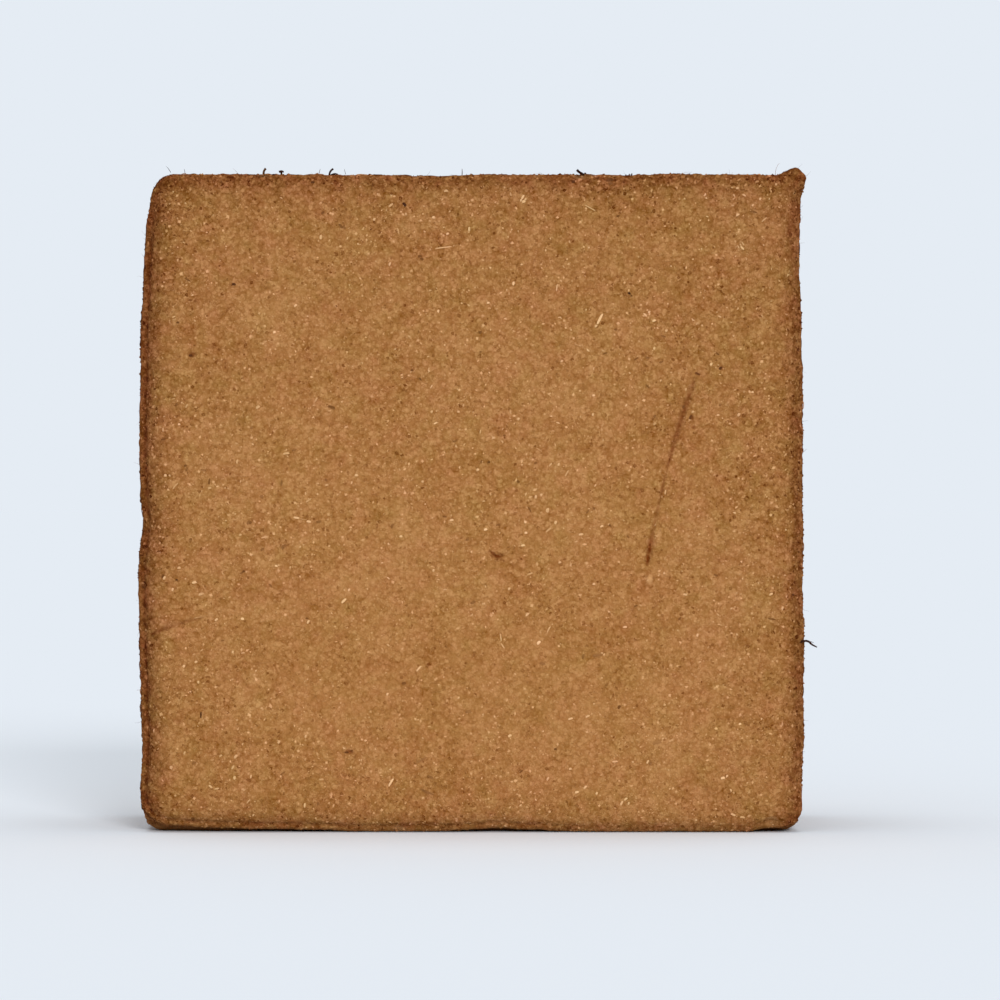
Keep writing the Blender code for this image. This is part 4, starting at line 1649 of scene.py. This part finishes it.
def smooth_path(points: Array, joints: Array) -> Array:
    """Reads a smooth curve through a few points.

    Args:
        points: The points, one in each row.
        joints: Where to read it, from 0 at the first point to 1 at the last.

    Returns:
        The curve's points at those places.
    """
    padded = np.vstack([2.0 * points[0] - points[1], points, 2.0 * points[-1] - points[-2]])
    place = np.clip(joints * (len(points) - 1), 0.0, len(points) - 1 - ON_FACE)
    index = place.astype(int)
    share = (place - index)[:, None]
    before, start, end, after = (padded[index + offset] for offset in range(4))
    return 0.5 * (
        2.0 * start
        + (end - before) * share
        + (2.0 * before - 5.0 * start + 4.0 * end - after) * share**2
        + (3.0 * start - before - 3.0 * end + after) * share**3
    )


@dataclass(frozen=True)
class Strand:
    """A thick fibre or hair that sticks out of the bale, as points of (across, up).

    Its tip is as thick as the tip's share of its width.
    """

    points: Profile
    width: float
    tone: float
    tip: float = 0.25
    depth: float = 0.0050


@dataclass(frozen=True)
class LooseEnds(Laid):
    """The twig at the right edge, and the tufts and hairs that stand out along the top."""

    name: str = "twig_and_tufts"
    strands: tuple[Strand, ...] = (
        Strand(((0.3005, 0.0862), (0.3045, 0.0868), (0.3066, 0.0852), (0.3090, 0.0840)), 0.0014, 0.20, 0.5),
        Strand(((0.3045, 0.0867), (0.3060, 0.0865), (0.3076, 0.0862)), 0.0006, 0.25),
        Strand(((0.2900, 0.2970), (0.2903, 0.3008), (0.2912, 0.3032), (0.2923, 0.3043)), 0.0002, 0.80),
        Strand(((0.0153, 0.2999), (0.0141, 0.3018), (0.0132, 0.3027)), 0.0003, 0.30, 0.4),
        Strand(((0.0219, 0.2990), (0.0216, 0.3006), (0.0214, 0.3015)), 0.0003, 0.35, 0.4),
        Strand(((0.0826, 0.2990), (0.0830, 0.3006), (0.0833, 0.3015)), 0.0003, 0.40, 0.4),
        Strand(((0.0948, 0.2990), (0.0944, 0.3006), (0.0942, 0.3015)), 0.0003, 0.40, 0.4),
        Strand(((0.0576, 0.2979), (0.0577, 0.2999), (0.0580, 0.3009), (0.0586, 0.3016)), 0.0011, 0.25, 1.3),
        Strand(((0.0573, 0.2981), (0.0574, 0.2999), (0.0577, 0.3009)), 0.0008, 0.35, 1.0),
        Strand(((0.0645, 0.3000), (0.0656, 0.3003), (0.0666, 0.3000)), 0.0013, 0.25, 0.7),
        Strand(((0.0656, 0.2979), (0.0657, 0.2990), (0.0657, 0.3000)), 0.0011, 0.25, 1.1),
        Strand(((0.0873, 0.2979), (0.0877, 0.2998), (0.0883, 0.3007), (0.0892, 0.3015)), 0.0011, 0.25, 1.1),
        Strand(((0.0878, 0.2983), (0.0897, 0.2991), (0.0913, 0.2989)), 0.0012, 0.25, 0.6),
        Strand(((0.1477, 0.2979), (0.1478, 0.3002), (0.1477, 0.3016)), 0.0005, 0.40, 0.4),
        Strand(((0.2045, 0.2981), (0.2027, 0.2992), (0.2010, 0.3002), (0.2000, 0.3012)), 0.0014, 0.22, 1.1),
        Strand(((0.2033, 0.2979), (0.2035, 0.2991), (0.2037, 0.2998)), 0.0007, 0.15, 1.0),
        Strand(((0.2036, 0.2977), (0.2037, 0.2989), (0.2040, 0.2997)), 0.0011, 0.12, 0.7),
        Strand(((0.1969, 0.2974), (0.1970, 0.2984), (0.1971, 0.2992)), 0.0011, 0.15, 0.8),
        Strand(((0.1984, 0.2974), (0.1984, 0.2985), (0.1985, 0.2993)), 0.0012, 0.12, 0.8),
        Strand(((0.2221, 0.2974), (0.2222, 0.2983), (0.2223, 0.2989)), 0.0010, 0.15, 0.8),
        Strand(((0.2237, 0.2974), (0.2238, 0.2983), (0.2239, 0.2992)), 0.0009, 0.15, 0.8),
        Strand(((0.2248, 0.2974), (0.2248, 0.2985), (0.2250, 0.2994)), 0.0009, 0.12, 0.8),
        Strand(((0.2283, 0.2974), (0.2283, 0.2983), (0.2285, 0.2992)), 0.0010, 0.15, 0.8),
    )

    def copies(self, surface: SkinSurface) -> Copies:
        """Grows the strands.

        Args:
            surface: The skin, whose tints they take at their roots.

        Returns:
            The strands.
        """
        template = Template.of(Speck.HAIR)
        joints = (template.joints() + 1.0) / 2.0
        left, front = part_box(NODE)[0][:2]
        paths = []
        for strand in self.strands:
            across, up = smooth_path(np.array(strand.points), joints).T
            paths.append(rows(left + across, front + strand.depth, up))
        paths = np.array(paths)
        widths, tones, tips = np.array([(s.width, s.tone, s.tip) for s in self.strands]).T
        radii = widths[:, None] / 2.0 * (1.0 - (1.0 - tips[:, None]) * joints**2)
        tints = surface.under(paths[:, 0]).tints
        return Copies(template, template.bent(paths, radii, 1.0), {**tints, "tone": tones})


class Wiring:
    """Adds nodes to one node tree and links them."""

    def __init__(self, tree: bpy.types.NodeTree) -> None:
        """Takes the tree to work in."""
        self.tree = tree

    def add(self, kind: str, feeds: dict | None = None, **settings: object) -> bpy.types.Node:
        """Adds a node.

        Args:
            kind: The node's type.
            feeds: What goes into its sockets, by their names or places.
            **settings: Its other properties.

        Returns:
            The node.
        """
        node = self.tree.nodes.new(kind)
        for name, value in settings.items():
            setattr(node, name, value)
        for name, value in (feeds or {}).items():
            self.feed(node.inputs[name], value)
        return node

    def feed(self, socket: Socket, value: Feed) -> None:
        """Links a socket to another one, or sets its value.

        Args:
            socket: The socket.
            value: The other socket, or the value.
        """
        if isinstance(value, bpy.types.NodeSocket):
            self.tree.links.new(value, socket)
        else:
            socket.default_value = value

    def math(self, operation: str, *values: Feed, clamp: bool = False) -> Socket:
        """Works out a number from others."""
        feeds = dict(enumerate(values))
        return self.add("ShaderNodeMath", feeds, operation=operation, use_clamp=clamp).outputs[0]

    def vector(self, operation: str, *values: Feed) -> Socket:
        """Works out a vector from others."""
        feeds = dict(enumerate(values))
        return self.add("ShaderNodeVectorMath", feeds, operation=operation).outputs[0]

    def blend(self, share: Feed, first: Feed, second: Feed, kind: str = "MIX") -> Socket:
        """Blends two colours by a share of the second."""
        feeds = {0: share, 6: first, 7: second}
        return self.add("ShaderNodeMix", feeds, data_type="RGBA", blend_type=kind).outputs[2]

    def noise(self, place: Feed, scale: Feed, detail: float = 2.0) -> Socket:
        """Smooth noise about a value of 0.5."""
        feeds = {"Vector": place, "Scale": scale, "Detail": detail}
        return self.add("ShaderNodeTexNoise", feeds).outputs[0]

    def attribute(self, name: str) -> Socket:
        """A value stored at the points of the piece."""
        return self.add("ShaderNodeAttribute", attribute_name=name).outputs["Fac"]

    def group(self, tree: bpy.types.NodeTree, feeds: dict[str, Feed]) -> bpy.types.Node:
        """Places a shared effect."""
        return self.add("ShaderNodeGroup", feeds, node_tree=tree)


def effect(
    name: str, inputs: dict[str, str], outputs: dict[str, str]
) -> tuple[Wiring, bpy.types.Node, bpy.types.Node]:
    """Starts a shared effect.

    Args:
        name: Its name.
        inputs: The kinds of its inputs, by name.
        outputs: The kinds of its outputs, by name.

    Returns:
        The wiring of its tree, and the nodes that hold its inputs and its outputs.
    """
    tree = bpy.data.node_groups.new(name, "ShaderNodeTree")
    for side, sockets in (("INPUT", inputs), ("OUTPUT", outputs)):
        for label, kind in sockets.items():
            tree.interface.new_socket(name=label, in_out=side, socket_type=f"NodeSocket{kind}")
    wiring = Wiring(tree)
    return wiring, wiring.add("NodeGroupInput"), wiring.add("NodeGroupOutput")


def pith_speckle() -> bpy.types.NodeTree:
    """Makes grains of pressed pith, as a tone about 0.5 and a height, both from 0 to 1.

    Returns:
        The effect, whose grain is the size of a grain.
    """
    wiring, given, out = effect(
        "pith speckle", {"Vector": "Vector", "Grain": "Float"}, {"Tone": "Float", "Height": "Float"}
    )
    sway_fineness, coarse_fineness, dust_fineness = 0.6, 0.55, 1.7
    sway_reach, coarse_height, fine_height = 1.6, 0.5, 0.5
    coarse_share, fine_share, dust_share = 0.25, 0.20, 0.13
    coarse_dome_share, fine_dome_share = 0.22, 0.20
    place, grain = given.outputs["Vector"], given.outputs["Grain"]
    scale = wiring.math("DIVIDE", 1.0, grain)
    sway_scale = wiring.math("MULTIPLY", scale, sway_fineness)
    sway = wiring.add("ShaderNodeTexNoise", {"Vector": place, "Scale": sway_scale})
    shift = wiring.vector("SUBTRACT", sway.outputs["Color"], (0.5, 0.5, 0.5))
    reach = wiring.math("MULTIPLY", grain, sway_reach)
    moved = wiring.vector("MULTIPLY_ADD", shift, reach, place)
    coarse_scale = wiring.math("MULTIPLY", scale, coarse_fineness)
    coarse = wiring.add("ShaderNodeTexVoronoi", {"Vector": moved, "Scale": coarse_scale})
    fine = wiring.add("ShaderNodeTexVoronoi", {"Vector": moved, "Scale": scale})
    dust = wiring.noise(place, wiring.math("MULTIPLY", scale, dust_fineness), 1.0)
    coarse_tone, fine_tone = (
        wiring.add("ShaderNodeSeparateColor", {0: grains.outputs["Color"]}).outputs[0]
        for grains in (coarse, fine)
    )
    coarse_dome, fine_dome = (
        wiring.math("SUBTRACT", 1.0, grains.outputs["Distance"], clamp=True)
        for grains in (coarse, fine)
    )
    tone = wiring.math("MULTIPLY", coarse_tone, coarse_share)
    for part, share in (
        (fine_tone, fine_share),
        (dust, dust_share),
        (coarse_dome, coarse_dome_share),
        (fine_dome, fine_dome_share),
    ):
        tone = wiring.math("MULTIPLY_ADD", part, share, tone)
    wiring.feed(out.inputs["Tone"], tone)
    height = wiring.math("MULTIPLY", fine_dome, fine_height)
    height = wiring.math("MULTIPLY_ADD", coarse_tone, coarse_height, height)
    wiring.feed(out.inputs["Height"], height)
    return wiring.tree


def coir_patches() -> bpy.types.NodeTree:
    """Makes wide soft patches of pressed coir: lighter or darker, and warmer or greener.

    Scales are patches in a metre.

    Returns:
        The effect, whose two values lie about 0.
    """
    wiring, given, out = effect(
        "coir patches", {"Vector": "Vector"}, {"Light": "Float", "Warmth": "Float"}
    )
    broad_scale, small_scale, smaller_scale = 16.0, 85.0, 300.0
    broad_share, small_share, smaller_share = 0.30, 0.40, 0.30
    warm_scale, finer_scale, warm_share, finer_share = 70.0, 190.0, 0.5, 0.5
    elsewhere = (0.37, 0.11, 0.23)
    place = given.outputs["Vector"]
    broad = wiring.noise(place, broad_scale)
    small = wiring.noise(place, small_scale)
    smaller = wiring.noise(place, smaller_scale, 1.0)
    light = wiring.math("MULTIPLY", broad, broad_share)
    light = wiring.math("MULTIPLY_ADD", small, small_share, light)
    light = wiring.math("MULTIPLY_ADD", smaller, smaller_share, light)
    wiring.feed(out.inputs["Light"], wiring.math("SUBTRACT", light, 0.5))
    moved = wiring.vector("ADD", place, elsewhere)
    finer = wiring.math("MULTIPLY", wiring.noise(moved, finer_scale, 1.0), finer_share)
    warmth = wiring.math("MULTIPLY_ADD", wiring.noise(moved, warm_scale), warm_share, finer)
    wiring.feed(out.inputs["Warmth"], wiring.math("SUBTRACT", warmth, 0.5))
    return wiring.tree


def coir_shade() -> bpy.types.NodeTree:
    """Colours coir by a tone and its patches, with burnish and painted shade at its rims, and painted shade
    in its crevices and on its narrow sides.

    Returns:
        The effect.
    """
    greener, redder = (0.96, 1.04, 0.94, 1.0), (1.04, 0.96, 1.05, 1.0)
    # Rim tint: burnish and painted shade at the rims of the broad faces.
    # Side tint: painted shade on the narrow sides.
    side_shade_tint, rim_burnish_and_shade_tint = (0.66, 0.57, 0.50, 1.0), (0.39, 0.245, 0.155, 1.0)
    # Crevice tint: painted shade in seams, grooves, dents and cracks.
    crevice_shade_tint = (0.40, 0.18, 0.06, 1.0)
    rim_contrast, light_contrast, light_tone = 0.9, -2.5, 0.9
    warmth_reach, side_warmth = 1.7, -0.8
    numbers = dict.fromkeys(("Tone", "Light", "Warmth", "Rim", "Crevice", "Side"), "Float")
    colours = dict.fromkeys(("Dark", "Middle", "Pale"), "Color")
    wiring, given, out = effect("coir shade", {**numbers, **colours}, {"Color": "Color"})
    read = given.outputs
    contrast = wiring.math("MULTIPLY_ADD", wiring.math("SQRT", read["Rim"]), rim_contrast, 1.0)
    contrast = wiring.math("MULTIPLY_ADD", read["Rim"], read["Rim"], contrast)
    contrast = wiring.math("MULTIPLY_ADD", read["Light"], light_contrast, contrast)
    grain = wiring.math("MULTIPLY", wiring.math("SUBTRACT", read["Tone"], 0.5), contrast)
    tone = wiring.math("ADD", grain, 0.5)
    tone = wiring.math("MULTIPLY_ADD", read["Light"], light_tone, tone)
    low = wiring.math("MULTIPLY", tone, 2.0, clamp=True)
    high = wiring.math("MULTIPLY_ADD", tone, 2.0, -1.0, clamp=True)
    colour = wiring.blend(high, wiring.blend(low, read["Dark"], read["Middle"]), read["Pale"])
    reach = wiring.math("MULTIPLY_ADD", read["Side"], side_warmth, warmth_reach)
    strong = wiring.math("MULTIPLY", contrast, reach)
    warm = wiring.math("MULTIPLY_ADD", read["Warmth"], strong, 0.5, clamp=True)
    # Painted shade where the crevice value is above 0.
    dark = wiring.math("MULTIPLY", read["Crevice"], 1.0, clamp=True)
    for share, plain, tint in (
        (warm, greener, redder),
        (read["Side"], WHITE, side_shade_tint),
        (read["Rim"], WHITE, rim_burnish_and_shade_tint),
        (dark, WHITE, crevice_shade_tint),
    ):
        colour = wiring.blend(1.0, colour, wiring.blend(share, plain, tint), "MULTIPLY")
    rubbed = wiring.math("MULTIPLY", read["Crevice"], -1.0, clamp=True)
    wiring.feed(out.inputs["Color"], wiring.blend(rubbed, colour, read["Pale"]))
    return wiring.tree


@dataclass(frozen=True)
class Effects:
    """The effects that the finishes share."""

    speckle: bpy.types.NodeTree = field(default_factory=pith_speckle)
    patches: bpy.types.NodeTree = field(default_factory=coir_patches)
    shade: bpy.types.NodeTree = field(default_factory=coir_shade)


@dataclass(frozen=True)
class CoirFinish:
    """A finish of coir: its dark, middle and pale colours and how its tone varies."""

    name: str
    dark: Colour
    middle: Colour
    pale: Colour
    grain: float
    own_tone: float
    speckle_tone: float
    bump: float
    roughness: float = 0.95
    specular: float = 0.06

    def build(self, effects: Effects) -> bpy.types.Material:
        """Makes the material.

        Args:
            effects: The shared effects.

        Returns:
            The material.
        """
        material = bpy.data.materials.new(self.name)
        material.use_nodes = True
        wiring = Wiring(material.node_tree)
        surface = material.node_tree.nodes["Principled BSDF"]
        place = wiring.add("ShaderNodeTexCoord").outputs["Object"]
        speckle = wiring.group(effects.speckle, {"Vector": place, "Grain": self.grain}).outputs
        patches = wiring.group(effects.patches, {"Vector": place}).outputs
        start = 0.5 - self.speckle_tone / 2.0
        varied = wiring.math("MULTIPLY_ADD", speckle["Tone"], self.speckle_tone, start)
        if self.own_tone > 0.0:
            own = wiring.math("SUBTRACT", wiring.attribute("tone"), 0.5)
            varied = wiring.math("MULTIPLY_ADD", own, self.own_tone, varied)
        colours = {"Dark": self.dark, "Middle": self.middle, "Pale": self.pale}
        feeds = {name.title(): wiring.attribute(name) for name in TINTS}
        feeds |= {"Tone": varied, "Light": patches["Light"], "Warmth": patches["Warmth"], **colours}
        shade = wiring.group(effects.shade, feeds)
        wiring.feed(surface.inputs["Base Color"], shade.outputs["Color"])
        if self.bump > 0.0:
            bump = wiring.add("ShaderNodeBump", {"Height": speckle["Height"], "Distance": self.bump})
            wiring.feed(surface.inputs["Normal"], bump.outputs["Normal"])
        surface.inputs["Roughness"].default_value = self.roughness
        surface.inputs["Specular IOR Level"].default_value = self.specular
        return material


PRESSED_PITH = CoirFinish(
    name="pressed pith",
    dark=linear(128, 75, 19),
    middle=linear(170, 118, 67),
    pale=linear(210, 157, 104),
    grain=0.0010,
    own_tone=0.0,
    speckle_tone=0.91,
    bump=0.0005,
)
LOOSE_PITH = CoirFinish(
    name="loose pith",
    dark=linear(104, 51, 5),
    middle=linear(169, 117, 66),
    pale=linear(236, 183, 131),
    grain=0.0009,
    own_tone=1.0,
    speckle_tone=0.30,
    bump=0.0002,
)
PALE_FIBRE = CoirFinish(
    name="pale fibre",
    dark=linear(128, 76, 24),
    middle=linear(181, 129, 76),
    pale=linear(240, 193, 142),
    grain=0.0007,
    own_tone=1.0,
    speckle_tone=0.20,
    bump=0.0,
    roughness=0.8,
    specular=0.15,
)
DARK_FIBRE = CoirFinish(
    name="dark fibre",
    dark=linear(62, 28, 6),
    middle=linear(124, 78, 34),
    pale=linear(176, 124, 74),
    grain=0.0007,
    own_tone=1.0,
    speckle_tone=0.3,
    bump=0.0,
    roughness=0.8,
    specular=0.15,
)


@dataclass(frozen=True)
class Studio:
    """A pale floor that runs out to a pale backdrop, soft light, and the camera.

    The floor's colour is worked out from the light that falls on it, so that it looks the
    same as the backdrop and no horizon shows.
    """

    backdrop: Colour = linear(229, 236, 244)
    surround: float = 0.52
    key_light: float = 0.47
    key_bearing: float = 14.0
    key_height: float = 22.0
    key_softness: float = 16.0
    top_light: float = 0.24
    top_height: float = 90.0
    top_softness: float = 40.0
    floor_radius: float = 60.0
    floor_corners: int = 96
    pixel: float = 0.0004548
    middle_column: float = 471.5
    base_row: float = 832.0
    outline_depth: float = 0.0060
    picture: int = 1000
    distance: float = 2.0
    sensor_millimetres: float = 36.0

    def sun(self, name: str, bearing: float, height: float, strength: float, softness: float) -> None:
        """Adds a lamp that lights everything alike from one direction.

        Args:
            name: Its name.
            bearing: Degrees to the right of straight in front of the bale.
            height: Degrees above the floor.
            strength: Brightness of a white card that faces it.
            softness: How wide it looks, in degrees.
        """
        lamp = bpy.data.lights.new(name, "SUN")
        lamp.energy = strength * math.pi
        lamp.angle = math.radians(softness)
        thing = bpy.data.objects.new(name, lamp)
        turned, raised = math.radians(bearing), math.radians(height)
        towards = Vector(
            (math.sin(turned) * math.cos(raised), -math.cos(turned) * math.cos(raised), math.sin(raised))
        )
        thing.rotation_euler = towards.to_track_quat("Z", "Y").to_euler()
        bpy.context.scene.collection.objects.link(thing)

    def floor_colour(self) -> Colour:
        """Finds the floor's own colour, which its light turns into the backdrop's.

        Returns:
            The colour.
        """
        key = self.key_light * math.sin(math.radians(self.key_height))
        light = self.surround + key + self.top_light
        return (*(part / light for part in self.backdrop[:3]), 1.0)

    def build_floor(self) -> None:
        """Makes the floor."""
        disc = bmesh.new()
        bmesh.ops.create_circle(
            disc, cap_ends=True, radius=self.floor_radius, segments=self.floor_corners
        )
        mesh = bpy.data.meshes.new("floor")
        disc.to_mesh(mesh)
        disc.free()
        material = bpy.data.materials.new("pale floor")
        material.use_nodes = True
        tree = material.node_tree
        tree.nodes.remove(tree.nodes["Principled BSDF"])
        matt = tree.nodes.new("ShaderNodeBsdfDiffuse")
        matt.inputs["Color"].default_value = self.floor_colour()
        tree.links.new(matt.outputs["BSDF"], tree.nodes["Material Output"].inputs["Surface"])
        mesh.materials.append(material)
        floor = bpy.data.objects.new("floor", mesh)
        bpy.context.scene.collection.objects.link(floor)

    def build_surround(self) -> None:
        """Lights the scene softly from all round, before a backdrop of its own colour."""
        world = bpy.data.worlds.new("studio")
        bpy.context.scene.world = world
        world.use_nodes = True
        tree = world.node_tree
        wiring = Wiring(tree)
        light = tree.nodes["Background"]
        light.inputs["Color"].default_value = WHITE
        light.inputs["Strength"].default_value = self.surround
        seen = wiring.add("ShaderNodeBackground", {"Color": self.backdrop, "Strength": 1.0})
        straight = wiring.add("ShaderNodeLightPath").outputs["Is Camera Ray"]
        shaders = {0: straight, 1: light.outputs[0], 2: seen.outputs[0]}
        mixed = wiring.add("ShaderNodeMixShader", shaders)
        wiring.feed(tree.nodes["World Output"].inputs["Surface"], mixed.outputs[0])

    def build_camera(self) -> None:
        """Sets the camera square to the front face, at the photograph's framing."""
        lens = bpy.data.cameras.new("camera")
        lens.sensor_width = self.sensor_millimetres
        lens.lens = self.sensor_millimetres * self.distance / (self.picture * self.pixel)
        lens.clip_end = 4.0 * self.floor_radius
        camera = bpy.data.objects.new("camera", lens)
        camera.location = (
            (self.picture / 2.0 - self.middle_column) * self.pixel,
            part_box(NODE)[0].y + self.outline_depth - self.distance,
            (self.base_row - self.picture / 2.0) * self.pixel,
        )
        camera.rotation_euler = (math.pi / 2.0, 0.0, 0.0)
        bpy.context.scene.collection.objects.link(camera)
        bpy.context.scene.camera = camera

    def build(self) -> None:
        """Sets up the whole studio."""
        self.build_camera()
        self.build_surround()
        self.build_floor()
        self.sun("key", self.key_bearing, self.key_height, self.key_light, self.key_softness)
        self.sun("overhead", 0.0, self.top_height, self.top_light, self.top_softness)
        bpy.context.scene.view_settings.view_transform = "Standard"


CRUMBS = (
    Crumbs(
        name="front_pith",
        region=Region.FRONT,
        count=22000,
        length=(0.0010, 0.0026),
        slimness=(0.50, 0.95),
        height=(0.00006, 0.00020),
        tone=(0.27, 0.82),
        seed=101,
    ),
    Crumbs(
        name="rear_pith",
        region=Region.REAR,
        count=12000,
        length=(0.0010, 0.0028),
        slimness=(0.50, 0.95),
        height=(0.00006, 0.00022),
        tone=(0.27, 0.82),
        seed=103,
    ),
    Crumbs(
        name="side_pith",
        region=Region.SIDES,
        count=18000,
        length=(0.0008, 0.0030),
        slimness=(0.40, 0.90),
        height=(0.00015, 0.00070),
        tone=(0.10, 0.95),
        seed=107,
    ),
)
FIBRES = (
    Fibres(
        name="front_flecks",
        region=Region.FRONT,
        speck=Speck.FLECK,
        count=4500,
        length=(0.0010, 0.0030),
        width=(0.0006, 0.0012),
        tone=(0.2, 0.80),
        seed=201,
    ),
    Fibres(
        name="rear_flecks",
        region=Region.REAR,
        speck=Speck.FLECK,
        count=4000,
        length=(0.0010, 0.0034),
        width=(0.0006, 0.0012),
        tone=(0.2, 0.80),
        seed=203,
    ),
    Fibres(
        name="side_fibres",
        region=Region.SIDES,
        speck=Speck.FIBRE,
        count=3200,
        length=(0.0020, 0.0140),
        width=(0.00025, 0.00070),
        tone=(0.0, 0.7),
        seed=207,
        lift=0.00030,
        bend=0.18,
        level=0.75,
        flatness=0.9,
    ),
)


def main() -> None:
    """Builds the studio and every piece of the bale."""
    logging.basicConfig(level=logging.INFO, format="%(message)s")
    Studio().build()
    effects = Effects()
    pressed, loose, pale, dark = (
        finish.build(effects) for finish in (PRESSED_PITH, LOOSE_PITH, PALE_FIBRE, DARK_FIBRE)
    )
    surface = SkinSurface(Skin().build(pressed))
    for finish, pieces in (
        (loose, CRUMBS),
        (pale, (*FIBRES, HandLaid("pale_marks", PALE_MARKS))),
        (dark, (HandLaid("dark_marks", DARK_MARKS), EdgeHairs(), LooseEnds())),
    ):
        for laid in pieces:
            laid.build(surface, finish)


if __name__ == "__main__":
    main()
